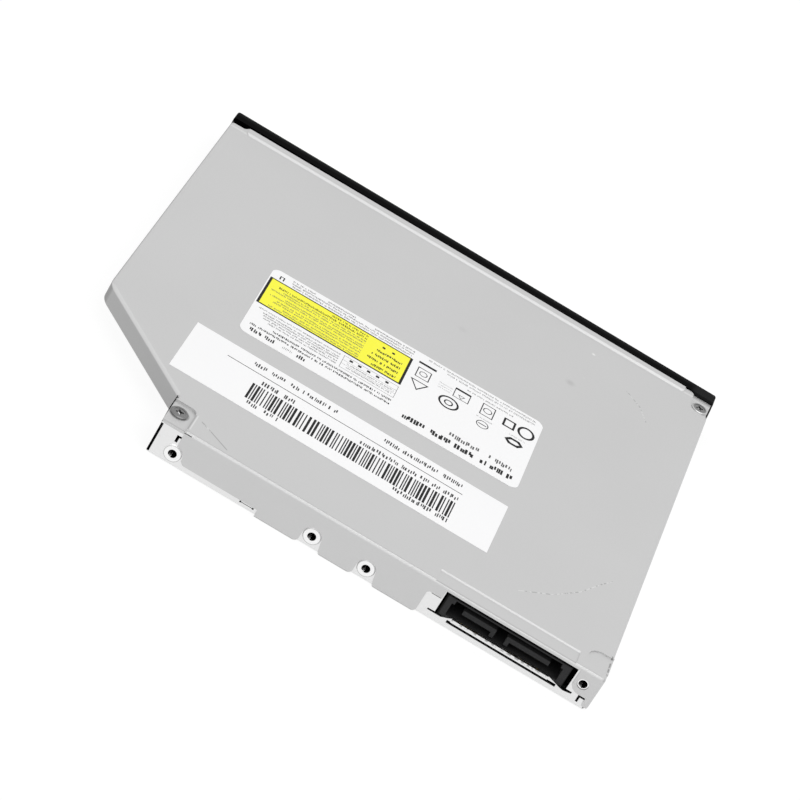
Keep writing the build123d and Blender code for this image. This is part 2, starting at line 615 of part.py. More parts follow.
def plate_between(start, end, width, z0, z1):
    """A flat bar from one point to another."""
    dx, dy = end[0] - start[0], end[1] - start[1]
    turn = math.degrees(math.atan2(dy, dx))
    middle = Pos((start[0] + end[0]) / 2, (start[1] + end[1]) / 2, (z0 + z1) / 2)
    return middle * Rot(0, 0, turn) * Box(math.hypot(dx, dy), width, z1 - z0)


def deck_dampers():
    """Three soft grommets with a waist that the deck's ears sit in."""
    grommets = []
    for x, y in damper_places():
        body = peg(x, y, 2.7, DECK_LOW + 0.2, DECK_HIGH)
        ring = peg(x, y, 3.5, DECK_LOW + 0.98, DECK_LOW + 2.02) - peg(x, y, 1.93, 0, 9)
        grommets.append(body - ring - peg(x, y, 0.7, 0, 9))
    return grommets


def deck_screws():
    """Three screws that hold the dampers up against the tray."""
    screws = []
    for x, y in damper_places():
        body = peg(x, y, 2.2, DEEP_UNDER + 0.02, DECK_LOW + 0.18)
        screws.append(body + peg(x, y, 0.65, DECK_LOW + 0.1, TRAY_FLOOR + 0.15))
    return screws


def mechanism_cover():
    """The black sheet over the deck, open at the hub and along the lens's way."""
    limit = block(DEEP_LEFT + 0.4, LANE_LEFT - 1.3, TRAY_FRONT + 1.5, DEEP_REAR - 1.5, 0, 9)
    low, high = DECK_HIGH, DECK_HIGH + 0.25
    sheet = (DECK * block(DECK_INNER + 1, DECK_OUTER, DECK_LEFT, DECK_RIGHT - 0.5, low, high)) & limit
    sheet -= peg(0, HUB_Y, ROTOR_R + 0.7, 0, 9)
    slot = rounded(10, 64.5, -8.0, 8.0, 0, 9, 3.0)
    sheet -= DECK * slot
    for x, y in damper_places():
        sheet -= peg(x, y, 3.3, 0, 9)
    return sheet


def spindle_stator():
    """The motor's base plate with its bearing tube and the ring of coils."""
    base = peg(0, HUB_Y, 13.2, DECK_LOW + 0.55, DECK_LOW + 1.0)
    base += peg(0, HUB_Y, 2.4, DECK_LOW + 0.5, 4.4)
    base += peg(0, HUB_Y, 9.2, DECK_LOW + 1.0, 4.1) - peg(0, HUB_Y, 5.2, 0, 9)
    return base - peg(0, HUB_Y, 0.8, DECK_LOW + 0.9, 9)


def turntable():
    """Rotor cup, shaft, table and hub boss, turned as one, with windows for the claws."""
    profile = [
        (0, 2.9), (0.75, 2.9), (0.75, 4.75), (10.9, 4.75), (10.9, 3.1), (ROTOR_R, 3.1),
        (ROTOR_R, 5.5), (9.0, 5.5), (9.0, 5.85), (TABLE_R, 6.15), (TABLE_R, 6.7),
        (14.7, 6.7), (14.7, 6.5), (12.1, 6.5), (12.1, 6.7), (7.4, 6.7), (7.4, 8.0),
        (6.9, 8.5), (0, 8.5),
    ]
    face = make_face(Polyline(*[(r, 0, z) for r, z in profile], close=True))
    body = revolve(face, axis=Axis.Z)
    body -= peg(0, 0, 1.4, 8.1, 9)
    for i in range(CLAWS):
        turn = Rot(0, 0, 90 + i * 360 / CLAWS)
        body -= turn * block(4.2, 8.5, -1.5, 1.5, 7.15, 8.2)
    return Pos(0, HUB_Y, 0) * body


def turntable_ring():
    """The rubber ring that the disc seats on."""
    return peg(0, HUB_Y, 14.6, 6.5, SEAT_Z) - peg(0, HUB_Y, 12.2, 6, 8)


def chuck_claw(index):
    """One sprung claw that centres the disc, with a rounded nose."""
    nose = block(5.2, 7.2, -1.35, 1.35, 7.2, 8.1)
    nose += Pos(7.0, 0, 7.65) * Rot(90, 0, 0) * Cylinder(0.45, 2.7)
    nose += block(7.0, 7.1, -1.35, 1.35, 7.2, 8.1)
    return Pos(0, HUB_Y, 0) * Rot(0, 0, 90 + index * 360 / CLAWS) * nose


def guide_rods():
    """Two ground steel rods that the sled runs on."""
    return [DECK * rod_x(side * ROD_SIDE, ROD_Z, ROD_R, *ROD_ENDS) for side in (-1, 1)]


def pickup_sled():
    """The die-cast sled: bored at one rod, forked at the other, open round the lens."""
    a0, a1 = LENS_HOME - 7.2, LENS_HOME + 7.4
    body = block(a0, a1, -13.2, 13.2, 2.5, 4.7)
    body += block(a0 + 1.5, a1 - 1.5, -18.2, -13.0, 2.4, 4.75)
    body += block(a0 + 4.5, a1 - 4.5, 13.0, 18.2, 2.45, 4.75)
    body -= rod_x(-ROD_SIDE, ROD_Z, ROD_R + 0.04, a0 - 1, a1 + 1)
    body -= rod_x(ROD_SIDE, ROD_Z, ROD_R + 0.04, a0 - 1, a1 + 1)
    body -= block(a0, a1, ROD_SIDE, ROD_SIDE + 5, ROD_Z - 1.04, ROD_Z + 1.04)
    body -= rounded(LENS_HOME - 5.2, LENS_HOME + 5.2, -8.2, 8.2, 3.0, 6.0, 1.0)
    body -= peg(LENS_HOME, 0, 2.6, 2, 4)
    return DECK * body


def screw_follower():
    """The nut on the lead screw, with an arm that is fixed to the sled's side."""
    a0, a1 = FOLLOWER - 1.8, FOLLOWER + 1.8
    body = block(a0, a1, SCREW_SIDE - 1.9, SCREW_SIDE + 1.9, 2.4, 4.7)
    body -= rod_x(SCREW_SIDE, SCREW_Z, SCREW_R + 0.06, a0 - 1, a1 + 1)
    body += block(a0 + 0.6, a1 - 0.6, 18.2, SCREW_SIDE - 1.8, 2.75, 4.45)
    return DECK * body


def actuator_yoke():
    """Two magnets on a steel yoke beside the lens."""
    body = block(LENS_HOME - 4.6, LENS_HOME + 4.6, -7.6, 7.6, 3.0, 3.3)
    body -= peg(LENS_HOME, 0, 2.6, 2, 4)
    for side in (-1, 1):
        body += block(LENS_HOME - 3.2, LENS_HOME + 3.2, side * 7.0 - 0.55, side * 7.0 + 0.55,
                      3.2, 5.0)
    return DECK * body


def laser_plate():
    """The heat plate behind the laser, on the sled's outer side."""
    a1 = LENS_HOME + 5.4
    return DECK * block(a1, a1 + 1.8, -12.0, 12.0, 4.7, 4.85)


def lens_holder():
    """The suspended carrier of the lens, with coil blocks at both sides."""
    body = rounded(LENS_HOME - 3.4, LENS_HOME + 3.4, -4.2, 4.2, 3.8, 5.2, 0.8)
    body += block(LENS_HOME - 2.4, LENS_HOME + 2.4, -5.8, 5.8, 3.9, 4.8)
    body += peg(LENS_HOME, 0, 2.9, 5.2, 5.45)
    return DECK * (body - peg(LENS_HOME, 0, 2.0, 3, 6))


def objective_lens():
    """A convex lens in the holder's ring."""
    lens = peg(LENS_HOME, 0, 1.98, 4.9, 5.3)
    dome = Pos(LENS_HOME, 0, 1.7) * Sphere(4.1)
    return DECK * (lens + (dome & peg(LENS_HOME, 0, 1.98, 5.25, 6.0)))


def lead_screw():
    """The lead screw's core, from the stepper motor to its outer bearing."""
    body = rod_x(SCREW_SIDE, SCREW_Z, SCREW_R, *SCREW_ENDS)
    body += rod_x(SCREW_SIDE, SCREW_Z, 0.45, SCREW_ENDS[0] - 2.4, SCREW_ENDS[1] + 1.2)
    return DECK * body


def stepper_motor():
    """The flattened stepper motor that turns the lead screw."""
    end = SCREW_ENDS[0] - 2.4
    can = rod_x(SCREW_SIDE, SCREW_Z, 3.1, end - 9.0, end)
    can &= block(end - 10, end + 1, 10, 30, DECK_LOW + 0.6, 4.9)
    return DECK * (can - rod_x(SCREW_SIDE, SCREW_Z, 0.5, end - 1.0, end + 1))


def screw_bracket():
    """The folded steel plates that carry the motor and the screw's outer bearing."""
    low, start, end = DECK_LOW + 0.55, SCREW_ENDS[0] - 2.3, SCREW_ENDS[1] + 0.4
    side = SCREW_SIDE - 3.1, SCREW_SIDE + 2.6
    body = block(start, start + 0.4, *side, low, 4.85)
    body += block(start, start + 1.8, *side, low, low + 0.3)
    post = block(end, end + 0.7, SCREW_SIDE - 2.2, SCREW_SIDE + 1.4, low, 4.85)
    hole = rod_x(SCREW_SIDE, SCREW_Z, 0.5, start - 1, end + 2)
    return [DECK * (body - hole), DECK * (post - hole)]


def tray_underside():
    """The steel plate that closes the well from below."""
    outline = [(-60.7, 1.0), (DEEP_RIGHT - 0.2, 1.0), (DEEP_RIGHT - 0.2, LANE_FRONT - 0.2),
               (LANE_LEFT - 0.2, LANE_FRONT - 0.2), (LANE_LEFT - 0.2, DEEP_REAR - 0.2),
               (-60.7, DEEP_REAR - 0.2)]
    sheet = plate(outline, DEEP_UNDER - 0.3, DEEP_UNDER, 0.8)
    sheet -= block(CABLE_LEFT - 0.6, CABLE_RIGHT + 0.6, 82.4, 84.8, 0, 5)
    sheet -= peg(0, HUB_Y, 6.0, 0, 5)
    sheet -= block(CABLE_LEFT - 0.6, CABLE_RIGHT + 0.6, 9.5, 84.8, 1.0, 1.32)
    return sheet


def bezel():
    """The moulded front: an open-backed box with places for button, lamp and pin hole."""
    body = block(-BEZEL_HALF, BEZEL_HALF, BEZEL_FRONT, BEZEL_REAR, 0.0, HEIGHT - 0.05)
    ends = [e for e in body.edges() if abs(e.center().Z - (HEIGHT - 0.05) / 2) < 0.01
            and e.center().Y < BEZEL_FRONT + 0.1 and abs(e.center().X) > 60]
    body = fillet(ends, 0.6)
    front = body.faces().sort_by(Axis.Y)[0]
    body = fillet(front.edges(), 0.45)
    body -= block(-BEZEL_HALF + BEZEL_WALL, BEZEL_HALF - BEZEL_WALL, BEZEL_FRONT + 1.4, 2,
                  BEZEL_WALL, HEIGHT - 0.05 - BEZEL_WALL)
    for x in (-60, -38, -22, 10, 40, 60):
        body += block(x - 0.5, x + 0.5, BEZEL_FRONT + 1.2, BEZEL_REAR - 0.4, 1.0, HEIGHT - 1.1)
    body += block(-BEZEL_HALF, ARM_INNER, BEZEL_REAR - 0.5, 5.2, 2.0, 7.6)
    sloped = [(BEZEL_REAR - 0.5, 2.0), (BEZEL_REAR - 0.5, 9.0), (0.2, 9.0), (3.4, 8.1), (5.2, 7.5),
              (5.2, 2.0)]
    body += side_plate(sloped, -BEZEL_HALF, -63.87)
    body -= rounded_front(23.6, 36.4, 2.0, 5.4, 1.4)
    body -= block(16.9, 18.1, BEZEL_FRONT - 1, 0, 2.6, 3.6)
    body -= rod_y(12.0, 3.1, 0.6, BEZEL_FRONT - 1, 0)
    return body


def rounded_front(x0, x1, z0, z1, radius, y0=BEZEL_FRONT - 1, y1=0.0):
    """A bar along Y with a rounded cross-section."""
    face = RectangleRounded(x1 - x0, z1 - z0, radius)
    bar = extrude(face, amount=y1 - y0)
    return Pos((x0 + x1) / 2, y1, (z0 + z1) / 2) * Rot(90, 0, 0) * bar


def eject_button():
    """The push button with its flange behind the bezel and its stem to the switch."""
    body = rounded_front(23.8, 36.2, 2.2, 5.2, 1.3, BEZEL_FRONT, -2.2)
    body += rounded_front(22.9, 37.1, 1.5, 5.9, 1.3, BEZEL_FRONT + 1.65, -1.7)
    return body + block(28.9, 31.1, -1.8, 1.7, 2.5, 4.1)


def button_board():
    """The small circuit board behind the bezel."""
    outline = [(13.0, 1.6), (36.5, 1.6), (36.5, 6.8), (22.6, 6.8), (22.6, 4.4), (13.0, 4.4)]
    return plate(outline, DECK_LOW, DECK_LOW + 0.5)


def push_switch():
    """The switch on the board, with its own short pin towards the button."""
    low = DECK_LOW + 0.5
    return block(28.2, 31.8, 3.0, 6.2, low, low + 1.8) + block(29.4, 30.6, 2.5, 3.2, low + 0.5, low + 1.3)


def indicator_lamp():
    """The lamp on the board."""
    low = DECK_LOW + 0.5
    return block(16.6, 18.4, 2.1, 3.3, low, low + 1.2)


def light_guide():
    """The clear bar that carries the lamp's light to the bezel's face."""
    return block(16.95, 18.05, BEZEL_FRONT + 0.02, 2.0, 2.65, 3.55)


def latch_solenoid():
    """The release magnet: a folded yoke round a wound bobbin, bored for its plunger."""
    body = block(8.0, 21.0, 5.4, 11.8, DECK_LOW, 2.1)
    body += block(8.0, 8.6, 5.4, 11.8, DECK_LOW, 5.0) + block(20.4, 21.0, 5.4, 11.8, DECK_LOW, 5.0)
    body += rod_x(8.6, 3.55, 1.42, 8.4, 20.6)
    body += block(8.0, 21.0, 10.6, 11.8, DECK_LOW, 5.0)
    return body - rod_x(8.6, 3.55, 0.95, 12.0, 22)


def solenoid_plunger():
    """The plunger with its head by the latch lever."""
    return rod_x(8.6, 3.55, 0.85, 12.5, 26.0) + rod_x(8.6, 3.55, 1.2, 25.2, 26.0)


def latch_lever():
    """The hook that catches the latch post: hub, hook arm and release arm."""
    x, y = LEVER_PIVOT
    post_x, post_y = LATCH_POST
    low, high = 2.4, 3.8
    arm = plate_between((x, y), (x + 3.6, post_y + 2.3), 2.0, low, high)
    arm += block(x + 2.6, post_x + 0.9, post_y + 1.6, post_y + 3.2, low, high)
    arm += plate_between((x, y), (x - 0.2, 9.4), 2.0, low, high)
    arm += peg(x - 0.2, 9.0, 1.2, low, high)
    arm += peg(x, y, 2.0, low, 4.4)
    return arm - peg(x, y, 0.85, 0, 9)


def lever_pin():
    """The pin that the lever turns on, headed at the top."""
    x, y = LEVER_PIVOT
    return peg(x, y, 0.8, DEEP_UNDER, TRAY_FLOOR) + peg(x, y, 1.4, DEEP_UNDER, 2.2)


def latch_post():
    """The stud on the case floor that the hook catches."""
    x, y = LATCH_POST
    return peg(x, y, 1.1, SHEET, 4.3) + peg(x, y, 1.9, SHEET, 0.95)


def pusher_guide():
    """The moulded guide of the eject pusher."""
    body = block(PUSHER_X - 4, PUSHER_X + 4, 104.0, 124.0, SHEET, 1.0)
    body += block(PUSHER_X - 2.4, PUSHER_X + 2.4, 107.6, 109.5, 0.9, 5.0)
    body += block(PUSHER_X - 4, PUSHER_X - 3.2, 104.0, 124.0, 0.9, 4.0)
    body += block(PUSHER_X + 3.2, PUSHER_X + 4, 104.0, 120.0, 0.9, 4.0)
    return body - rod_y(PUSHER_X, PUSHER_Z, 1.05, 100, 112)


def eject_pusher():
    """The sprung pusher: head at the tray, rod through its guide and a stop ring."""
    body = rod_y(PUSHER_X, PUSHER_Z, 1.9, DEEP_REAR + 0.3, 88.2)
    body += rod_y(PUSHER_X, PUSHER_Z, 1.0, 88.0, 122.6)
    return body + rod_y(PUSHER_X, PUSHER_Z, 1.7, 121.4, 122.2)


def eject_spring():
    """The compression spring between the pusher's head and its guide."""
    start, end, turns = 88.3, 107.5, 5
    radius, wire = 1.5, 0.2
    length = end - start - 2 * wire
    helix = Helix(pitch=length / turns, height=length, radius=radius)
    section = Plane(origin=helix @ 0, z_dir=helix % 0) * RegularPolygon(wire, 4)
    coil = sweep(section, path=helix)
    return Pos(PUSHER_X, start + wire, PUSHER_Z) * Rot(-90, 0, 0) * coil


def insulating_sheet():
    """The black film over the board."""
    outline = [(-61.5, 93.0), (16.5, 93.0), (16.5, 114.0), (-61.5, 114.0)]
    return plate(outline, 4.35, 4.5, 1.5)


def corner_strip():
    """The black edge guard that closes the short wall behind the wing, up to the cover's edge."""
    top = COVER_UNDER - POCKET_DEPTH - SHEET - 0.05
    guard = block(BODY_RIGHT - 0.44, BODY_RIGHT + 0.05, CHAMFER_END_Y + 0.5, CHASSIS_REAR - 0.05,
                  SHEET + 0.05, top)
    guard += block(BODY_RIGHT - 0.1, BODY_RIGHT + 0.3, CHAMFER_END_Y + 0.5, REAR_SCREW[1], 5.0, top)
    return guard + block(BODY_RIGHT + 0.12, BODY_RIGHT + 0.3, CHAMFER_END_Y + 0.05, REAR_SCREW[1],
                         5.0, COVER_TOP - 0.2)


def cable_floor_leg():
    """The cable's leg on the case floor, rising into the board's socket."""
    x0, x1 = CABLE_LEFT, CABLE_RIGHT
    leg = block(x0, x1, CABLE_BEND_Y, 87.2, 0.5, 0.62)
    leg += block(x0, x1, 87.08, 87.2, 0.5, BOARD_TOP + 0.46)
    return leg + block(x0, x1, 87.08, 89.6, BOARD_TOP + 0.34, BOARD_TOP + 0.46)


def cable_bend():
    """The half turn between the two legs."""
    low, high = 0.5, 1.2
    radius = (high - low) / 2
    ring = rod_x(CABLE_BEND_Y, (low + high) / 2, radius, CABLE_LEFT, CABLE_RIGHT)
    ring -= rod_x(CABLE_BEND_Y, (low + high) / 2, radius - 0.12, CABLE_LEFT - 1, CABLE_RIGHT + 1)
    return ring & block(-40, 40, 0, CABLE_BEND_Y, 0, 3)


def cable_tray_leg():
    """The cable's leg under the tray, rising through the slot into the tray's socket."""
    x0, x1 = CABLE_LEFT, CABLE_RIGHT
    leg = block(x0, x1, CABLE_BEND_Y, 83.8, 1.08, 1.2)
    leg += block(x0, x1, 83.68, 83.8, 1.08, 3.26)
    return leg + block(x0, x1, 81.4, 83.8, 3.14, 3.26)


def tray_socket():
    """The tray's cable socket, hung under the tray floor behind the deck."""
    x0, x1 = CABLE_LEFT - 1.4, CABLE_RIGHT + 1.4
    body = block(x0, x1, 79.4, 82.5, 2.4, TRAY_FLOOR)
    return body - block(CABLE_LEFT - 0.1, CABLE_RIGHT + 0.1, 81.0, 83, 3.1, 3.3)


def build():
    """Make every piece and write it."""
    save("bottom_chassis", bottom_chassis())
    save("top_cover", top_cover())
    save("cover_screws", *cover_screws())
    save("mount_nuts", *mount_nuts())
    save("rating_label", sticker(3.0, 65.0, 68.0, 30.5, 1.1, 2.0))
    save("serial_label", sticker(6.55, 97.5, 75.5, 20.3, 0.0, 0))
    save("connector_housing", connector_housing())
    save("connector_contacts", *connector_contacts())
    save("main_board", main_board())
    save("controller_chip", board_chip(-38.0, 102.0, 12.0, 12.0, 1.3))
    save("driver_chip", board_chip(-6.0, 103.0, 8.0, 6.0, 1.5))
    save("memory_chip", board_chip(8.0, 104.0, 5.0, 6.0, 1.2))
    save("board_passives", *board_passives())
    save("board_socket", cable_socket(88.4, 91.4, BOARD_TOP, True))
    save("insulating_sheet", insulating_sheet())
    save("corner_strip", corner_strip())
    save("guide_left", slide_guide(-1, 9.0, 116.0, SHEET))
    save("guide_right", slide_guide(1, 3.0, 88.0, WING_UNDER + SHEET))
    save("latch_post", latch_post())
    save("pusher_guide", pusher_guide())
    save("eject_pusher", eject_pusher())
    save("eject_spring", eject_spring())
    save("cable_floor_leg", cable_floor_leg())
    save("cable_bend", cable_bend())
    save("cable_tray_leg", cable_tray_leg())
    save("rail_left", rail(-1))
    save("rail_right", rail(1))
    save("tray", tray())
    save("bezel", bezel())
    save("tray_underside", tray_underside())
    save("mechanism_cover", mechanism_cover())
    save("deck_frame", deck_frame())
    save("deck_dampers", *deck_dampers())
    save("deck_screws", *deck_screws())
    save("guide_rods", *guide_rods())
    save("spindle_stator", spindle_stator())
    save("turntable", turntable())
    save("turntable_ring", turntable_ring())
    for i in range(CLAWS):
        save(f"chuck_claw_{i + 1}", chuck_claw(i))
    save("pickup_sled", pickup_sled())
    save("screw_follower", screw_follower())
    save("actuator_yoke", actuator_yoke())
    save("laser_plate", laser_plate())
    save("lens_holder", lens_holder())
    save("objective_lens", objective_lens())
    save("lead_screw", lead_screw())
    save("stepper_motor", stepper_motor())
    save("screw_bracket", *screw_bracket())
    save("button_board", button_board())
    save("push_switch", push_switch())
    save("indicator_lamp", indicator_lamp())
    save("light_guide", light_guide())
    save("eject_button", eject_button())
    save("latch_solenoid", latch_solenoid())
    save("solenoid_plunger", solenoid_plunger())
    save("latch_lever", latch_lever())
    save("lever_pin", lever_pin())
    save("tray_socket", tray_socket())


build()
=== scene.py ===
"""Finishes, sticker prints, threads, spring, flat cable and stage of a slim disc drive."""

import math
from functools import reduce

import bpy
import numpy as np
from bpy.props import FloatProperty, FloatVectorProperty, IntProperty, PointerProperty
from bpy.types import Operator, Panel, PropertyGroup
from mathutils import Matrix


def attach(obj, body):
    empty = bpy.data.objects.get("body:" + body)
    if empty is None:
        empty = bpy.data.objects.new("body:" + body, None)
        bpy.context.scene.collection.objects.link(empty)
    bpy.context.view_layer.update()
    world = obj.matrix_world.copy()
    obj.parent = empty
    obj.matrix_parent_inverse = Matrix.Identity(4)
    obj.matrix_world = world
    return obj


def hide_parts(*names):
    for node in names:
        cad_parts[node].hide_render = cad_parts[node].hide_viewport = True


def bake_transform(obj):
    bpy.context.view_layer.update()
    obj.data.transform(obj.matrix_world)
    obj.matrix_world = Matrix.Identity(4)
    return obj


bl_info = {
    "name": "Slim disc drive",
    "version": (1, 0, 0),
    "blender": (4, 5, 0),
    "location": "3D View > Sidebar > Disc drive",
    "description": "Dresses a slim tray-loading disc drive for notebooks",
    "category": "Object",
}

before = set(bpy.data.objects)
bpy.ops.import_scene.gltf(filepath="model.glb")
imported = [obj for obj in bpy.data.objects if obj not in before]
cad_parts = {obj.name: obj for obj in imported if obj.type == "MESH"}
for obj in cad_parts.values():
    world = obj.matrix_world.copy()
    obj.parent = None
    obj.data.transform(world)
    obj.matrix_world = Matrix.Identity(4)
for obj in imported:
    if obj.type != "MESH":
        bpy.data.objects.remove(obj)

# Places below are in millimetres in the case's own frame: X to the right as seen from the
# front, Y from the case's front edge to the rear, Z up from the underside.
MIDDLE_Y = 61.3
MM = 0.001
PER_METRE = 1000.0
STICKER_TOP = 9.28
REAR_Y = 126.0
HUB = (0.0, 62.0)
REAR_SCREW = (37.0, 121.3)
FRONT_SCREW = (-61.5, 4.9)
REAR_NUTS = [(34.0, 2.9), (1.45, 2.9), (-11.2, 2.9), (-60.5, 5.7)]
NUT_BORE_R = 0.95
NUT_FLANGE_R = 1.84
NUT_BORE_ENDS = (122.5, 126.35)
# The cover: the turn of its front strip, where that strip starts at the right, the middle of
# the step over the connector, where the 45 degree cut starts, and its direction outwards
STRIP_TURN = math.radians(0.6)
STRIP_RIGHT = 59.6
STEP_MIDDLE = (-40.7, 121.9)
CUT_START = (39.1, 115.9)
CUT_OUT = (0.704, 0.71)
# The middle of the chassis's lip below the connector, as X and Z
LIP_MIDDLE = (-42.6, 2.75)
DECK_TURN = math.radians(225)
# The lead screw: its axis on the deck, as across and height, the ends of its threaded length,
# its radii and the lengths of its two journals
LEAD_AXIS = (22.5, 3.55)
LEAD_ENDS = (17.4, 57.3)
LEAD_CORE_R = 0.85
LEAD_JOURNAL_R = 0.45
LEAD_JOURNALS = (2.4, 1.2)
# The eject spring's axis, as X and Z, its two ends along Y and its outer radius
SPRING_AXIS = (27.0, 3.2)
SPRING_ENDS = (88.3, 107.5)
SPRING_R = 1.7
# The flat cable: its sides, where its rolling bend starts, the heights of its two legs, where
# each leg climbs, the Y and Z at which it ends in its socket, and the lengths that stretch
CABLE_SIDES = (-40.0, -20.0)
CABLE_BEND_Y = 10.0
CABLE_LOW = 0.56
CABLE_HIGH = 1.14
CABLE_CORNER_R = 0.45
FLOOR_CLIMB_Y = 87.14
FLOOR_END = (89.5, 2.5)
TRAY_CLIMB_Y = 83.74
TRAY_END = (81.4, 3.2)

PLAIN_RAYS = ("Is Camera Ray", "Is Glossy Ray", "Is Transmission Ray")


def metres(points):
    """Case-frame millimetres to metres about the middle of the drive's underside."""
    return (np.asarray(points, float) - (0, MIDDLE_Y, 0)) * MM


def from_deck(points):
    """Along, across and height on the turned deck to the case frame: a turn about the hub."""
    along, across, height = np.moveaxis(np.asarray(points, float), -1, 0)
    c, s = math.cos(DECK_TURN), math.sin(DECK_TURN)
    return np.stack([HUB[0] + along * c - across * s, HUB[1] + along * s + across * c, height], -1)


# Sizes and colours that can be changed


def colour(name, words, value):
    """A colour property with its name, description and default."""
    return FloatVectorProperty(name=name, description=words, default=value, subtype="COLOR",
                               size=3, min=0.0, max=1.0)


def length(name, words, value):
    """A length property with its name, description and default."""
    return FloatProperty(name=name, description=words, default=value, unit="LENGTH")


class DriveSizes(PropertyGroup):
    """Sizes of the drive's fine pieces."""

    thread_lead: length("Lead screw lead", "Travel of the pickup in one turn of the screw", 0.003)
    thread_depth: length("Lead screw thread depth", "Depth of the screw's groove", 0.00028)
    spring_wire: length("Spring wire", "Thickness of the eject spring's wire", 0.0004)
    spring_turns: IntProperty(name="Spring turns", description="Turns of the eject spring",
                              default=9, min=3)
    cable_thickness: length("Cable thickness", "Thickness of the flat cable", 0.00011)
    print_thickness: length("Print thickness", "Height of the ink on the stickers", 0.000006)


class DriveColours(PropertyGroup):
    """Colours of the drive's main pieces."""

    cover: colour("Cover", "Satin grey of the pressed top cover", (0.59, 0.59, 0.59))
    chassis: colour("Chassis", "Bright steel of the lower case", (0.80, 0.80, 0.80))
    sticker: colour("Stickers", "White film of the two stickers", (0.95, 0.95, 0.955))
    field: colour("Coloured field", "Bright field on the rating sticker", (0.98, 0.95, 0.03))
    ink: colour("Ink", "Dark print on the stickers", (0.008, 0.008, 0.009))
    bezel: colour("Bezel", "Black of the bezel and its button", (0.0014, 0.0014, 0.0015))
    moulding: colour("Tray", "Black of the tray moulding", (0.022, 0.022, 0.024))
    board: colour("Circuit board", "Green of the solder mask", (0.012, 0.13, 0.055))


# Shader maths


class Value:
    """A shader socket on which arithmetic is written as Python expressions."""

    def __init__(self, nodes, socket):
        self.nodes = nodes
        self.socket = socket

    def calc(self, operation, *values):
        """Adds a Math node."""
        return self.nodes.node("ShaderNodeMath", {"operation": operation}, values)

    def __add__(self, other):
        return self.calc("ADD", self, other)

    def __radd__(self, other):
        return self.calc("ADD", other, self)

    def __sub__(self, other):
        return self.calc("SUBTRACT", self, other)

    def __rsub__(self, other):
        return self.calc("SUBTRACT", other, self)

    def __mul__(self, other):
        return self.calc("MULTIPLY", self, other)

    def __rmul__(self, other):
        return self.calc("MULTIPLY", other, self)

    def __pow__(self, other):
        return self.calc("POWER", self, other)

    def larger(self, other):
        return self.calc("MAXIMUM", self, other)

    def smaller(self, other):
        return self.calc("MINIMUM", self, other)

    def sine(self):
        return self.calc("SINE", self)

    def size(self):
        return self.calc("ABSOLUTE", self)


def distance(first, second, centre):
    """Distance of the place from a centre, in the plane of two of its values."""
    off_first = first - centre[0]
    off_second = second - centre[1]
    return (off_first * off_first + off_second * off_second) ** 0.5


def opaque(shade):
    """A grey or a colour of three numbers with full alpha. A value stays as it is."""
    if isinstance(shade, Value):
        return shade
    return (*((shade,) * 3 if isinstance(shade, float) else shade), 1.0)


def scaled(base, factor, more=0.0):
    """A colour with each part times a factor and raised by more, held below 1."""
    return tuple(min(1.0, part * factor + more) for part in base)


class Nodes:
    """The shader nodes of a material or a world."""

    def __init__(self, tree):
        self.tree = tree

    def node(self, kind, settings=None, values=(), output=0):
        """Adds a node: its settings first, then the values or links of its sockets."""
        made = self.tree.nodes.new(kind)
        for key, value in (settings or {}).items():
            setattr(made, key, value)
        pairs = values.items() if isinstance(values, dict) else enumerate(values)
        for key, value in pairs:
            self.join(made.inputs[key], value)
        return Value(self, made.outputs[output])

    def join(self, socket, value):
        """Links a value to a socket, or sets the socket to a number or colour."""
        if isinstance(value, Value):
            self.tree.links.new(value.socket, socket)
        else:
            socket.default_value = value

    def plain_rays(self):
        """1 for the camera's own rays and those of mirrors and glass, 0 for rays that light."""
        path = self.tree.nodes.new("ShaderNodeLightPath")
        return reduce(Value.larger, [Value(self, path.outputs[name]) for name in PLAIN_RAYS])


